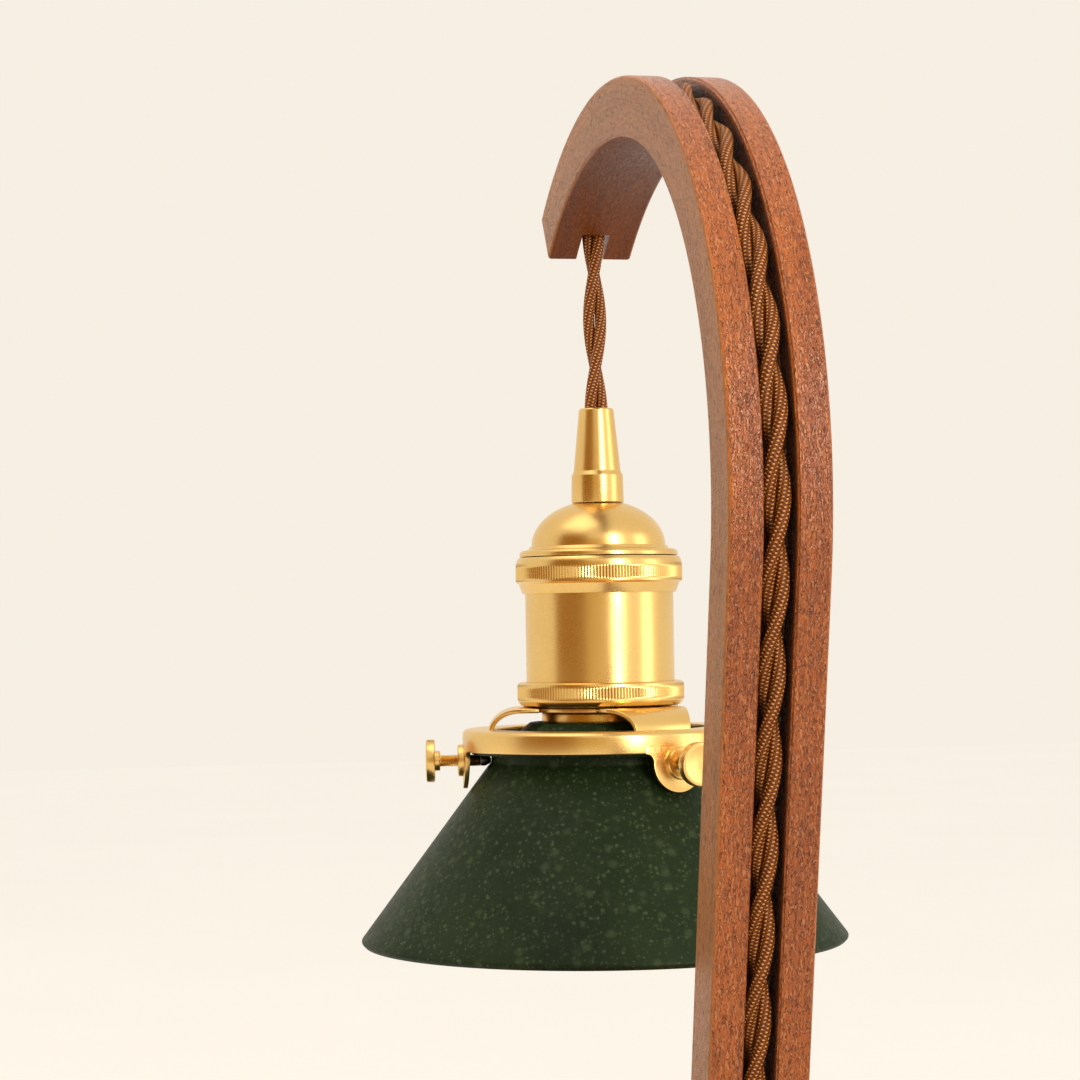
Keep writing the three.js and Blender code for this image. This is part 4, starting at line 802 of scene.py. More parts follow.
def finishes():
    """All the plain finishes by name, each made once."""
    made = {
        "steel": ((0.20, 0.19, 0.17), (0.12, 0.11, 0.10), 0.42, 1.0, 90.0, 0.02),
        "nickel": ((0.62, 0.60, 0.56), (0.48, 0.46, 0.42), 0.25, 1.0, 90.0, 0.02),
        "porcelain": ((0.74, 0.71, 0.64), (0.62, 0.58, 0.50), 0.45, 0.0, 120.0, 0.03),
        "mirror": ((0.86, 0.87, 0.88), (0.78, 0.79, 0.80), 0.13, 1.0, 150.0, 0.02),
        "black_plastic": ((0.013, 0.012, 0.012), (0.024, 0.022, 0.021), 0.42, 0.0, 300.0, 0.05),
        "brown_plastic": ((0.060, 0.024, 0.012), (0.085, 0.036, 0.017), 0.38, 0.0, 260.0, 0.05),
        "white_plastic": ((0.70, 0.68, 0.62), (0.60, 0.57, 0.50), 0.40, 0.0, 200.0, 0.03),
        "foam": ((0.020, 0.019, 0.018), (0.045, 0.042, 0.040), 0.92, 0.0, 500.0, 0.20),
        "circuit": ((0.012, 0.085, 0.035), (0.020, 0.120, 0.050), 0.38, 0.0, 240.0, 0.03),
    }
    return {name: plain_material(name + "_finish", *values) for name, values in made.items()}


FINISH = {}


def finish_named(name):
    """A finish from the list, made when it is first asked for."""
    if not FINISH:
        FINISH.update(finishes())
        FINISH.update(brass=brass_material(), brass_plain=brass_material("brass_sheet", 0.24, 0.2),
                      wood=wood_material(), foot=foot_material(), cord=cord_material(),
                      shade=shade_material(), lens=lens_material())
    return FINISH[name]


# Cords
def walked(start, heading, stretches, step=1.0 * MM):
    """Close points along straights and bends in the YZ plane, from a (y, z) place and a heading."""
    y, z = start
    points = [Vector((0, y, z))]
    for run, turn in stretches:
        count = max(1, math.ceil(run / step))
        chord = run / count if turn == 0 else 2 * run / turn * math.sin(turn / count / 2)
        for _ in range(count):
            heading += turn / count / 2
            y += chord * math.cos(heading)
            z += chord * math.sin(heading)
            heading += turn / count / 2
            points.append(Vector((0, y, z)))
    return points


def loose_route(start, end, straight_start, straight_end, step=1.0 * MM):
    """A stretch between two ends along Y, straight at each end and eased between them."""
    ahead = Vector((0, math.copysign(1, end.y - start.y), 0))
    first = start + ahead * straight_start
    last = end - ahead * straight_end
    reach = ahead * abs(last.y - first.y) / 2
    corners = (first, first + reach, last - reach, last)
    count = math.ceil((last - first).length / step)
    points = [start]
    for i in range(count + 1):
        t = i / count
        shares = ((1 - t) ** 3, 3 * t * (1 - t) ** 2, 3 * t * t * (1 - t), t ** 3)
        points.append(sum((corner * share for corner, share in zip(corners, shares)), Vector()))
    return points + [end]


def evenly(points, step):
    """The same route with points at an even distance."""
    marks = [0.0]
    for before, after in zip(points, points[1:]):
        marks.append(marks[-1] + (after - before).length)
    count = round(marks[-1] / step)
    route, k = [], 0
    for i in range(count + 1):
        mark = marks[-1] * i / count
        while k + 2 < len(marks) and marks[k + 1] < mark:
            k += 1
        route.append(points[k].lerp(points[k + 1], (mark - marks[k]) / (marks[k + 1] - marks[k])))
    return route


def cord_width():
    """The twisted pair's width over both strands."""
    return 2 * settings().cord.strand + settings().cord.spread


def strand_pair(name, points, phases, sides=12, start_mark=0.0):
    """Two round strands twisted round a route; a phase is the angle from the route's side."""
    own = settings().cord
    radius = own.strand / 2
    side = Vector((1, 0, 0))
    verts, faces, places, lines = [], [], [], ([], [])
    for i, (point, phase) in enumerate(zip(points, phases)):
        tangent = (points[min(i + 1, len(points) - 1)] - points[max(i - 1, 0)]).normalized()
        side = (side - tangent * side.dot(tangent)).normalized()
        up = tangent.cross(side)
        for strand, line in enumerate(lines):
            turn = phase + strand * math.pi
            line.append(point + (side * math.cos(turn) + up * math.sin(turn)) * (radius + own.spread / 2))
    for line in lines:
        base, mark, marks = len(verts), start_mark, []
        for i, centre in enumerate(line):
            ahead = (line[min(i + 1, len(line) - 1)] - line[max(i - 1, 0)]).normalized()
            outward = centre - points[i]
            outward = (outward - ahead * outward.dot(ahead)).normalized()
            across = ahead.cross(outward)
            if i:
                mark += (centre - line[i - 1]).length
            marks.append(mark / own.braid_pitch)
            for j in range(sides):
                turn = 2 * math.pi * j / sides
                verts.append(centre + (outward * math.cos(turn) + across * math.sin(turn)) * radius)
        for i in range(len(line) - 1):
            for j in range(sides):
                a, b = base + i * sides + j, base + i * sides + (j + 1) % sides
                faces.append((a, b, b + sides, a + sides))
                u, v = j / sides, (j + 1) / sides
                places += [u, marks[i], v, marks[i], v, marks[i + 1], u, marks[i + 1]]
        last = base + (len(line) - 1) * sides
        faces.append(tuple(range(base + sides - 1, base - 1, -1)))
        faces.append(tuple(range(last, last + sides)))
        places += [0, marks[0]] * sides + [0, marks[-1]] * sides
    mesh = bpy.data.meshes.new(name)
    mesh.from_pydata(verts, [], faces)
    mesh.uv_layers.new(name="UVMap").data.foreach_set("uv", places)
    obj = bpy.data.objects.new(name, mesh)
    bpy.context.scene.collection.objects.link(obj)
    return obj


# The cord's way from the grip up through the arm's slot, over the arch and out of the foot
CORD_INSET = 3.9 * MM
SLOT_BEND = 17.5 * MM
FOOT_BEND = 8.5 * MM
OUTLET_Z = 9 * MM
CORD_END_Y = 99.9 * MM
TIP_SEAM = 326.3 * MM
WAIST_Z = 330.4 * MM  # where one hanging strand covers the other in the camera's view
CORD_STEP = 0.8 * MM


def arch_numbers():
    """The arch's sizes, the two bends' centres, and where the post starts and its direction."""
    own = settings().wood
    crown = Vector((0, LAMP_Y + own.crown_setback, own.height - own.crown_radius))
    shift = own.crown_radius - own.shoulder_radius
    shoulder = crown + Vector((0, math.cos(own.meet_angle), math.sin(own.meet_angle))) * shift
    return own, crown, shoulder


def tip_z():
    """The height of the arm's tip, on its underside."""
    own, crown, _ = arch_numbers()
    return crown.z + (own.crown_radius - own.thickness) * math.sin(own.front_angle)


def post_y(height, inset=0.0):
    """How far back the post is at a height, inset being measured from its outer face."""
    own, _, shoulder = arch_numbers()
    reach = own.shoulder_radius - inset
    start_y = shoulder.y + reach * math.cos(own.lean)
    start_z = shoulder.z - reach * math.sin(own.lean)
    return start_y - (start_z - height) * math.tan(own.lean)


def cord_route():
    """Even points from inside the grip to the outlet bush."""
    own, crown, shoulder = arch_numbers()
    crown_cord = own.crown_radius - CORD_INSET
    shoulder_cord = own.shoulder_radius - CORD_INSET
    bend_y = LAMP_Y + SLOT_BEND - crown.y
    bend_z = crown.z + math.sqrt((crown_cord - SLOT_BEND) ** 2 - bend_y ** 2)
    meet = math.atan2(bend_z - crown.z, bend_y)
    start = low("hanging_cord_lower").z
    foot_bend_top = OUTLET_Z + FOOT_BEND * (1 + math.sin(own.lean))
    post_top = shoulder.z - shoulder_cord * math.sin(own.lean)
    bend_foot_y = post_y(foot_bend_top, CORD_INSET) + FOOT_BEND * math.cos(own.lean)
    points = walked((LAMP_Y, start), math.pi / 2, [
        (bend_z - start, 0),
        (SLOT_BEND * (math.pi - meet), meet - math.pi),
        (crown_cord * (meet - own.meet_angle), own.meet_angle - meet),
        (shoulder_cord * (own.meet_angle + own.lean), -own.meet_angle - own.lean),
        ((post_top - foot_bend_top) / math.cos(own.lean), 0),
        (FOOT_BEND * (math.pi / 2 + own.lean), math.pi / 2 + own.lean),
        (CORD_END_Y - bend_foot_y, 0),
    ])
    return evenly(points, CORD_STEP)


def twist_of(points):
    """The twist at each point of the route: the hanging pitch, and the groove's own from the arm on."""
    own = settings().cord
    place_of_camera = settings().stage.place
    facing = math.atan2(place_of_camera[1] - LAMP_Y, place_of_camera[0])
    start = points[0].z
    turns = (start - WAIST_Z) / own.hanging_pitch
    rise = tip_z() + own.enter_rise - start
    phases = []
    for i in range(len(points)):
        share = min(max((i * CORD_STEP - rise) / own.enter_run, 0), 1)
        share = share * share * (3 - 2 * share)
        phases.append(facing + 2 * math.pi * turns + own.groove_turn * share)
        turns += CORD_STEP * ((1 - share) / own.hanging_pitch + share / own.groove_pitch)
    return phases


def cord_stretch(name, first, last):
    """One stretch of the cord's route between two of its points."""
    route = cord_route()
    phases = twist_of(route)
    return strand_pair(name, route[first:last + 1], phases[first:last + 1], sides=18,
                       start_mark=first * CORD_STEP)


def seam_at(height):
    """The first point of the route above a height."""
    return next(i for i, point in enumerate(cord_route()) if point.z >= height)


# Pieces: the cords
def cords():
    """The cord over the arch, the hanging stretch, and the lead with its coil, dimmer and plug."""
    first, second = seam_at(TIP_SEAM), seam_at(tip_z() + 12 * MM)
    last = len(cord_route()) - 1
    fitted(cord_stretch("cord_in_groove", second, last), "cord", "groove_cord", angle=60)
    at_tip = fitted(cord_stretch("cord_at_tip", first, second), "cord", "hanging_cord_upper", angle=60,
                    ride=False)
    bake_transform(at_tip)
    hanging = fitted(cord_stretch("hanging_cord", 0, first), "cord", "hanging_cord_lower", angle=60,
                     ride=False)
    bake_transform(hanging)
    route = cord_route()[:first + 1]


COIL_AT = Vector((-47.84, 172, 4)) * MM
COIL_RADIUS = 47.84 * MM
COIL_STEP = 6.85 * MM
COIL_TURNS = 7.5
PLUG_SIDE = -106 * MM
DIMMER_SIDE = -98 * MM
DIMMER_SPLIT = 12 * MM


def coil_route():
    """A flat coil of two layers: inwards on the floor, then outwards on top of it."""
    points = []
    for i in range(round(COIL_TURNS * 60) + 1):
        t = i / 60
        reach = COIL_RADIUS - COIL_STEP * min(t, COIL_TURNS - t)
        share = min(max((t - 3.5) / 0.5, 0), 1)
        rise = COIL_STEP * share * share * (3 - 2 * share)
        points.append(COIL_AT + Vector((math.cos(2 * math.pi * t) * reach, math.sin(2 * math.pi * t) * reach,
                                        rise)))
    return points


def even_twist(points, step):
    pitch = settings().cord.hanging_pitch
    return [2 * math.pi * i * step / pitch for i in range(len(points))]


def lead(name, route, step=2.0 * MM):
    points = evenly(route, step)
    obj = strand_pair(name, points, even_twist(points, step))
    return obj, points


def leads():
    """The mains lead: outlet, coil, dimmer, and dimmer to plug."""
    coil = coil_route()
    ahead = Vector((0, -cord_width(), 0))
    start = Vector((0, 100.15, 9)) * MM
    end = Vector((DIMMER_SIDE, 122.25 * MM, DIMMER_SPLIT))
    first = loose_route(start, coil[0] + ahead, 13.6 * MM, 7.3 * MM - cord_width())
    last = loose_route(coil[-1] + ahead, end, 7.3 * MM - cord_width(), 24.75 * MM)
    route = first + coil + last
    back, points = lead("lead_and_coil", route)
    fitted(back, "cord", "lead_1", "cord_coil", "lead_2", angle=60)
    front_start = Vector((DIMMER_SIDE, 61.75 * MM, DIMMER_SPLIT))
    front_end = Vector((PLUG_SIDE, -19.75 * MM, OUTLET_Z))
    front, front_points = lead("lead_to_plug", loose_route(front_start, front_end, 24.75 * MM, 23 * MM))
    fitted(front, "cord", "lead_3", angle=60)
    return (back, points, start), (front, front_points, front_start)


def declared_leads():
    """Makes the lead and its strain reliefs, and declares both its lengths with what is on them."""
    (back, points, start), (front, front_points, front_start) = leads()
    bushes()


# Pieces: the arch and the foot
def swept(centre, sweep, steps):
    """In edit mode, carries the selected section round a centre, about an axis along X."""
    bpy.ops.mesh.spin(steps=steps, angle=sweep, center=centre, axis=(1, 0, 0))


def section_at_tip(name, width, foot, top, corner=0.0):
    """A flat section across the arm's end, from one radius to another about the crown's centre."""
    own, crown, _ = arch_numbers()
    obj = rectangle(name, width, top - foot)
    edit(obj)
    bpy.ops.mesh.select_all(action="SELECT")
    if corner:
        bpy.ops.mesh.bevel(offset=corner, segments=4, affect="VERTICES")
    bpy.ops.object.mode_set(mode="OBJECT")
    middle = (foot + top) / 2
    across = Vector((0, math.cos(own.front_angle), math.sin(own.front_angle)))
    return place(obj, crown + across * middle, (own.front_angle, 0, 0))


def over_the_arch(obj):
    """Sweeps a section along the two bends and down the post."""
    own, crown, shoulder = arch_numbers()
    edit(obj)
    bpy.ops.mesh.select_all(action="SELECT")
    swept(crown, own.front_angle - own.meet_angle, 24)
    swept(shoulder, own.meet_angle + own.lean, 44)
    drop = (shoulder.z - FOOT_TOP) / math.cos(own.lean)
    extrude(y=-drop * math.sin(own.lean), z=-drop * math.cos(own.lean))
    bpy.ops.mesh.select_all(action="SELECT")
    bpy.ops.mesh.bisect(plane_co=(0, 0, FOOT_TOP), plane_no=(0, 0, 1), clear_inner=True, use_fill=True)
    outwards()
    return obj


def arch():
    """The bent wooden arch with its cord groove and the slot at its tip."""
    own, crown, _ = arch_numbers()
    body = section_at_tip("wooden_arch", own.width, own.crown_radius - own.thickness, own.crown_radius,
                          own.edge_round)
    over_the_arch(body)
    edit(body)
    at_tip = Vector((0, math.cos(own.front_angle), math.sin(own.front_angle)))
    end_way = Vector((0, -at_tip.z, at_tip.y))
    pick_faces(lambda centre, normal: normal.dot(end_way) > 0.99 and centre.y < LAMP_Y)
    bpy.ops.mesh.region_to_loop()
    bpy.ops.mesh.bevel(offset=0.5 * MM, segments=2)
    outwards()
    groove = section_at_tip("groove_cutter", own.groove_width, own.crown_radius - own.groove_depth,
                            own.crown_radius - own.mouth)
    edit(groove)
    bpy.context.tool_settings.mesh_select_mode = (False, True, False)
    mesh = bpy.context.edit_object.data
    form = bmesh.from_edit_mesh(mesh)
    bpy.ops.mesh.select_all(action="DESELECT")
    edge_at = crown + at_tip * (own.crown_radius - own.mouth)
    for edge in form.edges:
        middle = (edge.verts[0].co + edge.verts[1].co) / 2
        edge.select_set((middle - edge_at).length < 0.1 * MM)
    bmesh.update_edit_mesh(mesh)
    for rise, wide in ((own.mouth, own.mouth), (1 * MM, 0.2 * MM)):
        bpy.ops.mesh.extrude_region_move(TRANSFORM_OT_translate={"value": tuple(at_tip * rise)})
        form = bmesh.from_edit_mesh(mesh)
        half = max(abs(vert.co.x) for vert in form.verts if vert.select)
        resize(((half + wide) / half, 1, 1), tuple(edge_at))
    bpy.ops.object.mode_set(mode="OBJECT")
    over_the_arch(groove)
    place(groove, tuple(end_way * 0.4 * MM))
    slot = slot_cutter()
    carved(body, groove, slot)
    straighten(body)
    fitted(body, "wood", "arch", angle=32)
    return flatter(body)


def slot_cutter():
    """The wedge that opens the arm's tip for the hanging cord."""
    own, crown, _ = arch_numbers()
    inner = own.crown_radius - own.thickness
    back = own.front_angle - own.slot_run / inner
    top_back = own.front_angle - own.slot_top_run / own.crown_radius
    past = own.front_angle + 3 * MM / inner
    def at(radius, turn):
        return crown + Vector((0, math.cos(turn), math.sin(turn))) * radius
    corners = [at(inner - 2 * MM, past), at(own.crown_radius + 2 * MM, past),
               at(own.crown_radius + 2 * MM, top_back),
               at(own.crown_radius - own.groove_depth, top_back), at(inner, back), at(inner - 2 * MM, back)]
    nothing_selected()
    bpy.ops.mesh.primitive_circle_add(vertices=len(corners), radius=0.01, fill_type="NGON")
    obj = added("slot_cutter")
    for vert, corner in zip(obj.data.vertices, corners):
        vert.co = corner - Vector((own.groove_width / 2, 0, 0))
    edit(obj)
    bpy.ops.mesh.select_all(action="SELECT")
    extrude(x=own.groove_width)
    outwards()
    return obj


def straighten(obj):
    """Writes each corner's place in the strip as if it were unbent, for the wood's grain to follow."""
    own, crown, shoulder = arch_numbers()
    values = []
    for vert in obj.data.vertices:
        spot = vert.co
        turn = math.atan2(spot.z - crown.z, spot.y - crown.y)
        if turn >= own.meet_angle and spot.z > crown.z:
            depth = own.crown_radius - math.hypot(spot.y - crown.y, spot.z - crown.z)
            along = (turn - own.meet_angle) * own.crown_radius
        else:
            turn = math.atan2(spot.z - shoulder.z, spot.y - shoulder.y)
            if turn > -own.lean:
                depth = own.shoulder_radius - math.hypot(spot.y - shoulder.y, spot.z - shoulder.z)
                along = (turn - own.meet_angle) * own.shoulder_radius
            else:
                outward = Vector((0, math.cos(own.lean), -math.sin(own.lean)))
                down = Vector((0, -math.sin(own.lean), -math.cos(own.lean)))
                depth = own.shoulder_radius - (spot - shoulder).dot(outward)
                along = (-own.lean - own.meet_angle) * own.shoulder_radius - (spot - shoulder).dot(down)
        values += (spot.x, depth, along)
    grain = obj.data.attributes.new("grain", "FLOAT_VECTOR", "POINT")
    grain.data.foreach_set("vector", values)


def foot():
    """The round wooden foot with its cord hole, and the pad under it."""
    radius, top = radius_of("foot_plate"), FOOT_TOP
    under = low("foot_plate").z
    outline = eased([(radius - 4 * MM, under), (radius, under, 1.0 * MM), (radius, top, 4 * MM),
                     (20 * MM, top)], steps=6)
    plate = turned("wooden_foot", outline, 128)
    hole_at = (0, post_y(FOOT_TOP, CORD_INSET) - 0.5 * MM, FOOT_TOP - 4 * MM)
    carved(plate, drill("cord_hole", 3.9 * MM, 20 * MM, hole_at, (0, 0, 0), 32))
    fitted(plate, "foot", "foot_plate")
    pad_outline = eased([(60 * MM, low("foot_pad").z), (radius_of("foot_pad"), low("foot_pad").z, 0.4 * MM),
                         (radius_of("foot_pad"), under, 0.4 * MM), (60 * MM, under)], steps=3)
    fitted(turned("foam_pad", pad_outline, 96), "foam", "foot_pad")


# Pieces: the lamp head
def knurled(obj, foot, top, count, depth):
    """Presses every other column of a ring's outer wall in between two heights."""
    outer = max(vert.co.x for vert in obj.data.vertices)
    for vert in obj.data.vertices:
        reach = math.hypot(vert.co.x, vert.co.y)
        if foot < vert.co.z < top and reach > outer - 1.2 * MM:
            turn = math.atan2(vert.co.y, vert.co.x) * count / (2 * math.pi)
            if abs(turn - round(turn)) > 0.25:
                vert.co.x *= 1 - depth / reach
                vert.co.y *= 1 - depth / reach
    return obj


def rows(radius, foot, top, count):
    """Evenly spaced points up a straight wall."""
    return [(radius, foot + (top - foot) * i / count) for i in range(count + 1)]


def head_rings():
    """Dome cap, knurled rings, socket shell, cord grip and hub nut."""
    own = settings().brass
    top, flange_foot = high("dome_cap").z, low("dome_cap").z
    flange = radius_of("dome_cap")
    start, round_radius, neck = flange_foot + 2.9 * MM, 18.1 * MM, 7.35 * MM
    last = math.acos(neck / round_radius)
    rise = (top - start) / math.sin(last)
    arc = [(round_radius * math.cos(last * i / 14), start + rise * math.sin(last * i / 14))
           for i in range(15)]
    outline = eased([(flange - 2 * MM, flange_foot), (flange, flange_foot, 0.08 * MM),
                     (flange, flange_foot + 1.6 * MM, 1.1 * MM),
                     (round_radius + 0.9 * MM, flange_foot + 1.9 * MM, 0.3 * MM),
                     (round_radius + 0.5 * MM, start - 0.2 * MM, 0.2 * MM),
                     (round_radius, start - 0.15 * MM)], steps=5)
    dome = on_lamp_axis(turned("dome", outline + arc))
    fitted(dome, "brass", "dome_cap")
    foot, top = low("upper_knurled_ring").z, high("upper_knurled_ring").z
    outer, bore = radius_of("upper_knurled_ring"), 20.1 * MM
    upper = [(bore, foot), (20.6 * MM, foot), (20.9 * MM, foot + 0.5 * MM),
             (outer - 0.8 * MM, foot + 2.6 * MM), (outer - 0.1 * MM, foot + 3.1 * MM)]
    upper += rows(outer, foot + 3.5 * MM, top - 2.3 * MM, 6)
    upper += [(outer - 0.1 * MM, top - 1.5 * MM), (outer - 0.3 * MM, top - 0.8 * MM),
              (outer - 0.55 * MM, top - 0.3 * MM), (outer - 0.9 * MM, top), (bore, top)]
    ring = turned("upper_ring", upper, 2 * own.knurls, closed=True)
    knurled(ring, foot + 3.2 * MM, top - 2.0 * MM, own.knurls, own.knurl_depth)
    fitted(on_lamp_axis(ring), "brass", "upper_knurled_ring", angle=25)
    foot, top = low("lower_knurled_ring").z, high("lower_knurled_ring").z
    lower = [(18.0 * MM, foot), (outer - 1.7 * MM, foot), (outer - 0.9 * MM, foot + 0.35 * MM),
             (outer - 0.2 * MM, foot + 1.3 * MM), (outer - 0.1 * MM, foot + 1.6 * MM)]
    lower += rows(outer, foot + 1.9 * MM, top - 0.9 * MM, 5)
    lower += [(outer - 0.25 * MM, top - 0.4 * MM), (outer - 0.8 * MM, top), (bore, top),
              (bore, foot + 1.3 * MM),
              (18.0 * MM, foot + 1.3 * MM)]
    ring = turned("lower_ring", lower, 2 * own.knurls, closed=True)
    knurled(ring, foot + 1.7 * MM, top - 0.7 * MM, own.knurls, own.knurl_depth)
    fitted(on_lamp_axis(ring), "brass", "lower_knurled_ring", angle=25)
    foot, top = low("socket_shell").z, high("socket_shell").z
    wall = [(19.1 * MM, foot), (19.9 * MM, foot), (20.0 * MM, foot + 0.1 * MM), (20.0 * MM, top - 0.3 * MM),
            (19.7 * MM, top), (19.1 * MM, top)]
    fitted(on_lamp_axis(turned("shell", wall, closed=True)), "brass", "socket_shell")
    foot, top, wide = low("cord_grip").z, high("cord_grip").z, radius_of("cord_grip")
    narrow = 4.7 * MM
    grip = eased([(3.3 * MM, foot), (wide, foot, 0.3 * MM), (wide - 0.15 * MM, foot + 7.4 * MM, 0.8 * MM),
                  (wide - 0.75 * MM, foot + 8.6 * MM, 1.0 * MM), (narrow, top - 0.4 * MM, 0.3 * MM),
                  (narrow - 0.4 * MM, top, 0.3 * MM), (3.3 * MM, top, 0.3 * MM), (3.3 * MM, top - 5 * MM)],
                  steps=4)
    fitted(on_lamp_axis(turned("grip", grip, 64, closed=True)), "brass", "cord_grip")
    foot, top, wide = low("hub_nut").z, high("hub_nut").z, radius_of("hub_nut")
    nut = eased([(14 * MM, foot), (wide, foot, 0.4 * MM), (wide, top, 0.4 * MM), (14 * MM, top)], True, 3)
    fitted(on_lamp_axis(turned("nut", nut, closed=True)), "brass", "hub_nut")


def screw_turns():
    """The directions of the three thumb screws, in even steps from the first."""
    return [settings().brass.first_screw + step * 120 * DEGREES for step in range(3)]


def gallery():
    """The stamped brass gallery: hub, three arms, band, lugs and bosses."""
    own = settings().brass
    outer, foot, hub_top = BAND_RADIUS, BAND_FOOT, HUB_TOP
    band_top = BAND_TOP
    sheet = own.sheet
    ring = eased([(outer - sheet, foot), (outer, foot, 0.45 * MM), (outer, band_top, 1.5 * MM),
                  (28.5 * MM, band_top, 0.3 * MM), (28.5 * MM, band_top - sheet, 0.3 * MM),
                  (outer - sheet, band_top - sheet, 0.5 * MM)], True, 5)
    band = turned("gallery_band", ring, 128, closed=True)
    hub_ring = eased([(15 * MM, hub_top - sheet), (19.3 * MM, hub_top - sheet, 0.2 * MM),
                      (19.3 * MM, hub_top, 0.4 * MM),
                      (15 * MM, hub_top, 0.3 * MM)], True, 3)
    parts = [turned("gallery_hub", hub_ring, 96, closed=True)]
    for number, turn in enumerate(screw_turns(), 1):
        parts += [place(gallery_arm(number), (0, 0, 0), (0, 0, turn)),
                  place(gallery_lug(number), (0, 0, 0), (0, 0, turn))]
    joined(band, *parts)
    band.name = band.data.name = "gallery_pressing"
    on_lamp_axis(band)
    fitted(band, "brass_plain", "gallery", angle=30)


def gallery_arm(number):
    """A strip that leaves the hub and turns down in a quarter ellipse, wider at its foot."""
    own = settings().brass
    start, bend, reach, drop = 16.9 * MM, 21.8 * MM, 8.6 * MM, HUB_TOP - ARM_FOOT
    obj = rectangle(f"gallery_arm_{number}", bend - start, own.arm_width)
    place(obj, ((start + bend) / 2, 0, HUB_TOP))
    edit(obj)
    pick(lambda spot: spot.x > bend - 0.01 * MM)
    across, spot = own.arm_width, Vector((bend, 0, HUB_TOP))
    steps = 12
    for i in range(1, steps + 1):
        turn = i / steps * math.pi / 2
        next_spot = Vector((bend + reach * math.sin(turn), 0, HUB_TOP - drop * (1 - math.cos(turn))))
        step = next_spot - spot
        extrude(x=step.x, z=step.z)
        wide = own.arm_foot + (own.arm_width - own.arm_foot) * (1 - i / steps) ** 1.7
        resize((1, wide / across, 1), tuple(next_spot))
        across, spot = wide, next_spot
    bpy.ops.mesh.select_all(action="SELECT")
    bpy.ops.mesh.subdivide(number_cuts=1)
    bpy.ops.mesh.normals_make_consistent(inside=False)
    bpy.ops.object.mode_set(mode="OBJECT")
    if obj.data.polygons[0].normal.z < 0:
        alone(obj)
        bpy.ops.object.mode_set(mode="EDIT")
        bpy.ops.mesh.select_all(action="SELECT")
        bpy.ops.mesh.flip_normals()
        bpy.ops.object.mode_set(mode="OBJECT")
    modified(obj, "SOLIDIFY", thickness=own.sheet, offset=-1)
    return modified(obj, "BEVEL", width=0.3 * MM, segments=3, limit_method="ANGLE", angle_limit=60 * DEGREES)


def gallery_lug(number):
    """The round-ended lug below the band, curved with it, its boss and its hole."""
    own = settings().brass
    centre_z = (low("thumb_screw_1").z + high("thumb_screw_1").z) / 2
    outer, radius, fillet = BAND_RADIUS, own.lug_width / 2, 2.2 * MM
    top = 203.6 * MM
    nothing_selected()
    bpy.ops.mesh.primitive_circle_add(vertices=64, radius=radius, fill_type="NGON")
    obj = place(added(f"gallery_lug_{number}"), (0, 0, centre_z), QUARTER_Y)
    edit(obj)
    bpy.ops.mesh.select_all(action="SELECT")
    bpy.ops.mesh.bisect(plane_co=(0, 0, centre_z), plane_no=(0, 0, 1), clear_outer=True)
    pick(lambda spot: spot.z > centre_z - 0.01 * MM)
    z, wide = centre_z, radius
    arc = [(top - 1.7 * MM - fillet * (1 - math.sin(i * math.pi / 12)),
            radius + fillet * (1 - math.cos(i * math.pi / 12)))
           for i in range(7)]
    for next_z, next_wide in [*arc, (top, radius + fillet)]:
        extrude(z=next_z - z)
        resize((1, next_wide / wide, 1), (0, 0, next_z))
        z, wide = next_z, next_wide
    bpy.ops.mesh.select_all(action="SELECT")
    bpy.ops.mesh.remove_doubles(threshold=1e-6)
    for side in range(-9, 10):
        bpy.ops.mesh.select_all(action="SELECT")
        bpy.ops.mesh.bisect(plane_co=(0, side * 1.0 * MM, 0), plane_no=(0, 1, 0))
    bpy.ops.mesh.select_all(action="SELECT")
    bpy.ops.mesh.normals_make_consistent(inside=False)
    bpy.ops.object.mode_set(mode="OBJECT")
    for vert in obj.data.vertices:
        turn = vert.co.y / outer
        vert.co = (outer * math.cos(turn), outer * math.sin(turn), vert.co.z)
    facing_out = sum(polygon.normal.x * polygon.area for polygon in obj.data.polygons) > 0
    modified(obj, "SOLIDIFY", thickness=own.sheet, offset=-1 if facing_out else 1)
    edit(obj)
    outwards()
    carved(obj, drill("screw_bore", 1.85 * MM, 6 * MM, (outer, 0, centre_z), QUARTER_Y))
    modified(obj, "BEVEL", width=0.35 * MM, segments=3, limit_method="ANGLE", angle_limit=50 * DEGREES)
    boss_outline = eased([(1.85 * MM, 36.9 * MM), (4.3 * MM, 36.9 * MM), (4.3 * MM, 38.9 * MM, 0.5 * MM),
                          (1.85 * MM, 38.9 * MM, 0.3 * MM)], True, 3)
    boss = place(turned(f"gallery_boss_{number}", boss_outline, 40, closed=True), (0, 0, centre_z), QUARTER_Y)
    return joined(obj, boss)


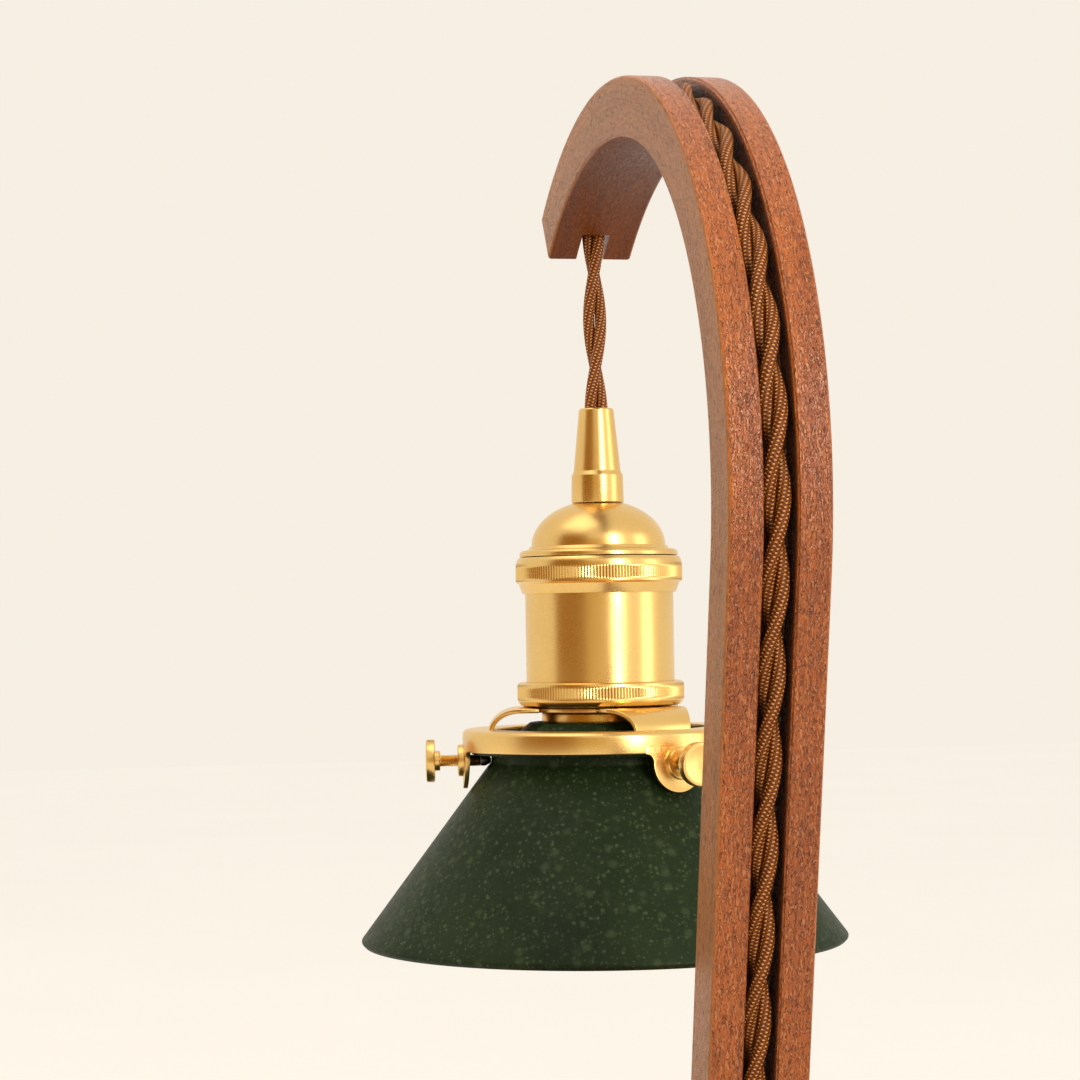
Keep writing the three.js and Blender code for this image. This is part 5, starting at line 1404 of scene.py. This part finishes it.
def thumb_screws():
    """Three knurled thumb screws and their loose tips."""
    centre_z = (low("thumb_screw_1").z + high("thumb_screw_1").z) / 2
    stem, neck, knob, start = 1.6 * MM, 2.7 * MM, 5.7 * MM, 32.66 * MM
    neck_start, knob_start, face = 43.6 * MM, 45.0 * MM, 47.4 * MM
    outline = [(1.3 * MM, start), (stem, start + 0.3 * MM)]
    crest = start + 0.3 * MM
    while crest + 0.5 * MM < neck_start:
        outline += [(stem - 0.16 * MM, crest + 0.25 * MM), (stem, crest + 0.5 * MM)]
        crest += 0.5 * MM
    outline += eased([(stem, neck_start), (neck, neck_start, 0.3 * MM), (neck, knob_start),
                      (knob, knob_start, 0.3 * MM),
                      (knob, face, 0.45 * MM), (knob - 1.2 * MM, face), (knob - 1.6 * MM, face - 0.15 * MM),
                      (0.8 * MM, face - 0.15 * MM)], steps=3)
    tip_outline = [(0.5 * MM, 29.85 * MM), (0.9 * MM, 30.2 * MM), (1.5 * MM, 31.5 * MM),
                   (1.5 * MM, 32.65 * MM)]
    for number, turn in enumerate(screw_turns(), 1):
        screw = turned(f"thumb_screw_piece_{number}", outline, 72)
        for vert in screw.data.vertices:
            reach = math.hypot(vert.co.x, vert.co.y)
            if reach > knob - 0.5 * MM and knob_start + 0.2 * MM < vert.co.z < face - 0.3 * MM:
                spin = math.atan2(vert.co.y, vert.co.x) * 36 / (2 * math.pi)
                if abs(spin - round(spin)) > 0.25:
                    vert.co.x *= 1 - 0.18 * MM / reach
                    vert.co.y *= 1 - 0.18 * MM / reach
        tip = turned(f"screw_tip_piece_{number}", tip_outline, 32)
        for piece, node_name, finish in ((screw, f"thumb_screw_{number}", "brass"),
                                         (tip, f"screw_tip_{number}", "steel")):
            place(piece, (0, 0, 0), QUARTER_Y)
            place(piece, (0, 0, 0), (0, 0, turn))
            place(piece, (0, LAMP_Y, centre_z))
            fitted(piece, finish, node_name, angle=30)


# Pieces: the shade and the bulb
def shade():
    """The cone shade with its lip and collar."""
    own = settings().shade
    rim_z, rim, wall = low("shade").z, radius_of("shade"), own.wall
    top, neck, lip, collar = 30.9 * MM, 29.8 * MM, 35.4 * MM, 22.8 * MM
    neck_foot, lip_foot, lip_top, high_top = 197.508 * MM, 201.008 * MM, 204.008 * MM, high("shade").z
    cone = [(rim + (top - rim) * i / 8, rim_z + 1.5 * MM + (neck_foot - rim_z - 1.5 * MM) * i / 8)
            for i in range(1, 8)]
    outline = eased([(rim - wall, rim_z + 1.0 * MM), (rim - wall * 0.5, rim_z, 0.9 * MM),
                     (rim, rim_z + 1.5 * MM, 0.9 * MM),
                     *cone, (top, neck_foot, 1.4 * MM), (neck, neck_foot + 1.2 * MM, 1.0 * MM),
                     (neck, lip_foot, 0.5 * MM), (lip, lip_foot, 0.7 * MM), (lip, lip_top, 1.2 * MM),
                     (collar, lip_top, 0.5 * MM), (collar, lip_top + 2.2 * MM, 0.8 * MM),
                     (19.3 * MM, high_top, 0.6 * MM),
                     (17.7 * MM, high_top, 0.4 * MM), (17.7 * MM, lip_top - wall, 0.4 * MM),
                     (neck - wall, lip_top - wall, 2.0 * MM), (neck - wall, neck_foot, 1.5 * MM)], True, 4)
    piece = on_lamp_axis(turned("shade_cone", outline, 128, closed=True))
    fitted(piece, "shade", "shade", angle=40)


def bulb():
    """The mirror bulb: its reflector, cap and front glass."""
    steps = 14
    base, mouth = 200.26 * MM, 164.26 * MM
    outer = [((10.5 + 14.5 * math.sqrt(i / steps)) * MM, base + (mouth - base) * i / steps)
             for i in range(steps + 1)]
    inner = [(radius - 1.0 * MM, z + 0.0004) for radius, z in reversed(outer)]
    reflector = on_lamp_axis(turned("mirror_bowl", outer + inner, closed=True))
    fitted(reflector, "mirror", "bulb_reflector")
    radius, foot, top = radius_of("bulb_lens"), low("bulb_lens").z, high("bulb_lens").z
    glass = eased([(4 * MM, foot), (radius, foot + 0.5 * MM, 0.4 * MM), (radius, top, 0.4 * MM),
                   (4 * MM, top)], steps=3)
    fitted(on_lamp_axis(turned("front_glass", glass, 64)), "lens", "bulb_lens")


# Pieces: the dimmer, the plug and the bushes
def bush(name, node_name, root, tip, run, at, heading, finish):
    """A tapered, ribbed strain relief with a collar at its root; it points along Y."""
    bore = 3.3 * MM
    outline = [(bore, 0), (root, 0), (root, 2.2 * MM)]
    count = 5
    for i in range(count):
        start = 2.2 * MM + (run - 3.0 * MM) * i / count
        width = (run - 3.0 * MM) / count
        reach = root + (tip - root) * (start + width / 2) / run
        outline += [(reach - 0.55 * MM, start + 0.1 * width), (reach - 0.55 * MM, start + 0.4 * width),
                    (reach, start + 0.5 * width), (reach, start + 0.95 * width)]
    outline += [(tip - 0.3 * MM, run - 0.5 * MM), (tip - 0.6 * MM, run), (bore, run)]
    piece = turned(name, outline, 40, closed=True)
    place(piece, (0, 0, 0), (-90 * DEGREES if heading > 0 else 90 * DEGREES, 0, 0))
    place(piece, at)
    return fitted(piece, finish, node_name)


def bushes():
    """The strain reliefs at the foot, on the dimmer and on the plug."""
    for number in (1, 2):
        name = f"dimmer_bush_{number}"
        heading = 1 if low(name).y > low("dimmer_wheel").y else -1
        root_y = low(name).y if heading > 0 else high(name).y
        bush(f"dimmer_relief_{number}", name, 6.8 * MM, 4.6 * MM, high(name).y - low(name).y,
             (DIMMER_SIDE, root_y, DIMMER_SPLIT), heading, "black_plastic")
    name = "plug_relief"
    bush("plug_strain_relief", name, radius_of(name), 4.6 * MM, high(name).y - low(name).y,
         (PLUG_SIDE, low(name).y, OUTLET_Z), 1, "black_plastic")
    name = "outlet_bush"
    start = 92.5 * MM
    nose = bush("outlet_relief", name, 5.6 * MM, 4.6 * MM, high(name).y - start, (0, start, OUTLET_Z), 1,
                "black_plastic")
    collar = eased([(3.3 * MM, low(name).y), (5.5 * MM, low(name).y, 0.3 * MM), (5.5 * MM, start - 2 * MM),
                    (7.5 * MM, start - 2 * MM, 0.4 * MM), (7.5 * MM, start, 0.7 * MM), (3.3 * MM, start)],
                    True, 3)
    ring = turned("outlet_collar", collar, 48, closed=True)
    ring.data.materials.append(finish_named("black_plastic"))
    place(ring, (0, 0, 0), (-90 * DEGREES, 0, 0))
    place(ring, (0, 0, OUTLET_Z))
    joined(nose, ring)
    smooth(nose)


def dimmer():
    """The dimmer's two case halves and its ribbed wheel."""
    foot, split, top = low("dimmer_case_bottom").z, DIMMER_SPLIT, high("dimmer_case_top").z
    wide = high("dimmer_case_top").x - low("dimmer_case_top").x
    long = high("dimmer_case_top").y - low("dimmer_case_top").y
    middle_y = (low("dimmer_case_top").y + high("dimmer_case_top").y) / 2
    halves = []
    seam = 0.1 * MM
    for name, node_name, start, end, sign in (("dimmer_lid", "dimmer_case_top", split + seam, top, 1),
                                              ("dimmer_tray", "dimmer_case_bottom", foot, split - seam, -1)):
        half = slab(name, wide, long, 7 * MM, start, end, 3 * MM, side=sign, steps=8, edge_steps=5)
        place(half, (DIMMER_SIDE, middle_y, 0))
        halves.append((half, node_name))
    lid = halves[0][0]
    wheel_low, wheel_high = low("dimmer_wheel"), high("dimmer_wheel")
    opening = slab("wheel_opening", wheel_high.x - wheel_low.x + 0.8 * MM,
                   wheel_high.y - wheel_low.y + 1 * MM,
                   1 * MM, split - 1 * MM, top + 1 * MM, 0)
    place(opening, (DIMMER_SIDE, (wheel_low.y + wheel_high.y) / 2, 0))
    ends = [(DIMMER_SIDE, middle_y + sign * long / 2, split) for sign in (1, -1)]
    bores = [drill("bush_bore", 5.2 * MM, 20 * MM, end, QUARTER_X) for end in ends]
    hollows = [copied(cutter, "bush_hollow") for cutter in bores]
    carved(lid, opening, *bores)
    carved(halves[1][0], *hollows)
    for half, node_name in halves:
        modified(half, "BEVEL", width=0.3 * MM, segments=2, limit_method="ANGLE", angle_limit=50 * DEGREES)
        fitted(half, "black_plastic", node_name, angle=40)
    radius, thick = (wheel_high.z - wheel_low.z) / 2, wheel_high.x - wheel_low.x
    rim = eased([(2.1 * MM, -thick / 2), (radius - 1.4 * MM, -thick / 2), (radius, -thick / 2 + 0.5 * MM),
                 (radius, thick / 2 - 0.5 * MM), (radius - 1.4 * MM, thick / 2), (2.1 * MM, thick / 2)], True)
    wheel = turned("ribbed_wheel", rim, 144, closed=True)
    knurled(wheel, -thick, thick, 48, 0.5 * MM)
    place(wheel, (0, 0, 0), QUARTER_Y)
    place(wheel, (DIMMER_SIDE, (wheel_low.y + wheel_high.y) / 2, (wheel_low.z + wheel_high.z) / 2))
    fitted(wheel, SLOT_FINISHES[SLOTS["dimmer_wheel"]], "dimmer_wheel", angle=25)


def plug():
    """The plug's moulded body, waisted for the fingers."""
    front, back = low("plug_body").y, high("plug_body").y
    wide = high("plug_body").x - low("plug_body").x
    tall = high("plug_body").z - low("plug_body").z
    shares = [(0.0, 0.90, 0.88), (0.03, 0.96, 0.95), (0.08, 1.0, 1.0), (0.36, 1.0, 1.0), (0.50, 0.93, 0.96),
              (0.64, 0.82, 0.88), (0.78, 0.76, 0.82), (0.90, 0.72, 0.78), (0.97, 0.66, 0.74),
              (1.0, 0.58, 0.66)]
    obj = rectangle("plug_moulding", wide * shares[0][1], tall * shares[0][2])
    edit(obj)
    bpy.ops.mesh.select_all(action="SELECT")
    bpy.ops.mesh.bevel(offset=5 * MM, segments=6, affect="VERTICES")
    bpy.ops.mesh.select_all(action="SELECT")
    run = back - front
    for before, after in zip(shares, shares[1:]):
        extrude(z=(after[0] - before[0]) * run)
        resize((after[1] / before[1], after[2] / before[2], 1), (0, 0, after[0] * run))
    outwards()
    place(obj, (0, 0, 0), (-90 * DEGREES, 0, 0))
    place(obj, (PLUG_SIDE, front, (low("plug_body").z + high("plug_body").z) / 2))
    fitted(obj, "black_plastic", "plug_body", angle=50)


SLOT_FINISHES = {
    "wood": "foot", "brass": "brass", "steel": "steel", "cord": "cord", "shade_glaze": "shade",
    "porcelain": "porcelain", "bulb_mirror": "mirror", "bulb_glass": "lens", "black_plastic": "black_plastic",
    "brown_plastic": "brown_plastic", "white_plastic": "white_plastic", "foam": "foam", "circuit": "circuit",
}


def small_parts():
    """Gives every CAD node that stays the finish of its slot."""
    for name, obj in frame["nodes"].items():
        if obj.hide_render or obj.type != "MESH":
            continue
        finish = "nickel" if "blade" in name else SLOT_FINISHES[SLOTS[name]]
        for slot in obj.material_slots:
            slot.material = finish_named(finish)


# The stage
SKY_TINT = (1.0, 0.965, 0.91)


def seen_rays(tree):
    """1 for the rays of the camera, of reflections and through glass, and 0 for the rays that light."""
    path = tree.nodes.new("ShaderNodeLightPath")
    seen = maths(tree, "MAXIMUM", path.outputs["Is Camera Ray"], path.outputs["Is Transmission Ray"])
    return maths(tree, "MAXIMUM", seen, path.outputs["Is Glossy Ray"])


def sky():
    """A plain world: cream where the camera and reflections see it, and even light elsewhere."""
    own = settings().stage
    world = bpy.data.worlds.new("studio")
    bpy.context.scene.world = world
    world.use_nodes = True
    tree = world.node_tree
    tree.nodes.clear()
    even = node(tree, "Background", {"Color": (*SKY_TINT, 1), "Strength": own.sky})
    plain = node(tree, "Background", {"Color": (*own.backdrop, 1), "Strength": 1.0})
    both = tree.nodes.new("ShaderNodeMixShader")
    end = tree.nodes.new("ShaderNodeOutputWorld")
    for source, target in ((seen_rays(tree), both.inputs[0]), (even, both.inputs[1]), (plain, both.inputs[2]),
                           (both.outputs[0], end.inputs[0])):
        tree.links.new(source, target)


def lamp(name, at, power, width, height, tint=(1.0, 0.95, 0.88)):
    """A soft rectangular light that faces the lamp's head."""
    light = bpy.data.lights.new(name, "AREA")
    light.shape, light.size, light.size_y = "RECTANGLE", width, height
    light.energy, light.color = power, tint
    obj = bpy.data.objects.new(name, light)
    bpy.context.scene.collection.objects.link(obj)
    obj.location = at
    obj.rotation_euler = (Vector((0, LAMP_Y, AIM_Z)) - Vector(at)).to_track_quat("-Z", "Y").to_euler()
    return obj


def card(name, at, width, height, shade_of):
    """A dark card that only polished surfaces see."""
    obj = rectangle(name, width, height)
    turn = (Vector((0, LAMP_Y, AIM_Z)) - Vector(at)).to_track_quat("Z", "Y").to_euler()
    place(obj, at, turn)
    material, tree, shader = new_material(name)
    plug_in(tree, shader, Base_Color=(0, 0, 0, 1), Specular_IOR_Level=0.0, Emission_Color=(*shade_of, 1),
            Emission_Strength=1.0)
    obj.data.materials.append(material)
    obj.visible_camera = obj.visible_diffuse = obj.visible_shadow = obj.visible_transmission = False
    obj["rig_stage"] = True
    return obj


def floor():
    """A wide pale table top under the foot, which shows the backdrop's colour and its own shadows."""
    own = settings().stage
    nothing_selected()
    bpy.ops.mesh.primitive_plane_add(size=8)
    obj = added("table_top")
    place(obj, (0, 0, low("foot_pad").z - 0.1 * MM))
    material, tree, shader = new_material("table_top")
    tone = grouped(tree, tone_group(), Vector=object_place(tree), Scale=3.0)
    plug_in(tree, shader, Base_Color=mixed(tree, maths(tree, "MULTIPLY", tone["Tone"], 0.03), own.floor,
                                           own.backdrop),
            Roughness=0.7, Specular_IOR_Level=0.0)
    rest = [whole - own.sky * tint * part for whole, tint, part in zip(own.backdrop, SKY_TINT, own.floor)]
    plug_in(tree, shader, Emission_Color=(*rest, 1), Emission_Strength=seen_rays(tree))
    obj.data.materials.append(material)
    obj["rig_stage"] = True


def stage():
    """Camera, floor, world and lights."""
    own = settings().stage
    scene = bpy.context.scene
    camera = bpy.data.cameras.new("photo_camera")
    camera.lens, camera.sensor_width, camera.clip_start = own.lens, 36, 0.01
    obj = bpy.data.objects.new("photo_camera", camera)
    scene.collection.objects.link(obj)
    ahead = Vector(own.ahead).normalized()
    level = ahead.cross(Vector((0, 0, 1))).normalized()
    right = level * math.cos(own.roll) + level.cross(ahead) * math.sin(own.roll)
    obj.matrix_world = Matrix.Translation(own.place) @ Matrix((right, right.cross(ahead),
                                                               -ahead)).transposed().to_4x4()
    scene.camera = obj
    scene.view_settings.view_transform = "Standard"
    sky()
    floor()
    head_at = Vector((0, LAMP_Y, AIM_Z))
    def around(degrees, distance, height):
        """A place round the head, counted from the camera's side towards the picture's right."""
        facing = math.atan2(own.place[1] - LAMP_Y, own.place[0]) + degrees * DEGREES
        return tuple(head_at + Vector((math.cos(facing) * distance, math.sin(facing) * distance, height)))
    lamp("key_panel", around(28, 1.5, 0.45), own.key, 0.24, 1.1)
    left = lamp("left_panel", around(-80, 1.6, 0.3), own.fill, 0.8, 1.0)
    left.visible_glossy = False
    lamp("side_panel", around(78, 1.4, 0.2), own.side, 0.5, 1.0)
    lamp("top_panel", around(-60, 0.5, 1.5), own.top, 1.2, 1.2)
    card("left_card", around(-46, 1.2, 0.0), 1.15, 1.8, (0.34, 0.155, 0.012))
    card("middle_card", around(-6, 1.9, 0.0), 1.0, 1.5, (0.62, 0.43, 0.15))


# The panel and its operators
def operator(name, label, build, note):
    """An operator that builds one piece or one group of like pieces."""
    def execute(self, context):
        build()
        return {"FINISHED"}
    return type("LAMP_OT_" + name, (bpy.types.Operator,), {
        "__doc__": note, "bl_idname": "lamp." + name, "bl_label": label, "bl_options": {"REGISTER", "UNDO"},
        "execute": execute})


OPERATORS = (
    operator("stage", "Stage", stage, "Adds the camera, the floor, the world and the lights"),
    operator("cords", "Hanging cord", cords, "Adds the twisted cord from the foot over the arch to the grip"),
    operator("arch", "Arch", arch, "Adds the bent wooden arch with its groove and slot"),
    operator("foot", "Foot", foot, "Adds the round foot and its pad"),
    operator("head", "Head", head_rings, "Adds the turned brass parts of the lamp head"),
    operator("gallery", "Gallery", gallery, "Adds the pressed brass gallery"),
    operator("screws", "Thumb screws", thumb_screws, "Adds the three thumb screws and their tips"),
    operator("shade", "Shade", shade, "Adds the cone shade"),
    operator("bulb", "Bulb", bulb, "Adds the mirror bulb"),
    operator("dimmer", "Dimmer", dimmer, "Adds the dimmer's case and wheel"),
    operator("plug", "Plug", plug, "Adds the plug's body"),
    # Adds the lead with its coil
    operator("leads", "Mains lead", declared_leads, "Adds the lead with its coil, and declares the lengths"),
    operator("small_parts", "Small parts", small_parts, "Gives the remaining CAD nodes their finishes"),
)
SETTINGS = (CordSettings, WoodSettings, BrassSettings, ShadeSettings, StageSettings, LampSettings)


class LAMP_PT_panel(bpy.types.Panel):
    """Lists the lamp's operators and settings."""
    bl_idname = "LAMP_PT_panel"
    bl_label = "Candle warmer lamp"
    bl_space_type = "VIEW_3D"
    bl_region_type = "UI"
    bl_category = "Lamp"

    def draw(self, context):
        column = self.layout.column()
        for each in OPERATORS:
            column.operator(each.bl_idname)
        for group in ("cord", "wood", "brass", "shade", "stage"):
            box = column.box()
            box.label(text=group.capitalize())
            values = getattr(context.scene.lamp_settings, group)
            for name in values.__annotations__:
                box.prop(values, name)


def register():
    for each in (*SETTINGS, *OPERATORS, LAMP_PT_panel):
        bpy.utils.register_class(each)
    bpy.types.Scene.lamp_settings = PointerProperty(type=LampSettings)


def unregister():
    del bpy.types.Scene.lamp_settings
    for each in reversed((*SETTINGS, *OPERATORS, LAMP_PT_panel)):
        bpy.utils.unregister_class(each)


def main():
    register()
    for each in OPERATORS:
        getattr(bpy.ops.lamp, each.bl_idname.split(".")[1])()
    boxes = {"cad": CAD_BOX, "visual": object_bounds()}
    boxes = {name: [[float(value) for value in corner] for corner in box] for name, box in boxes.items()}


if __name__ == "__main__":
    main()
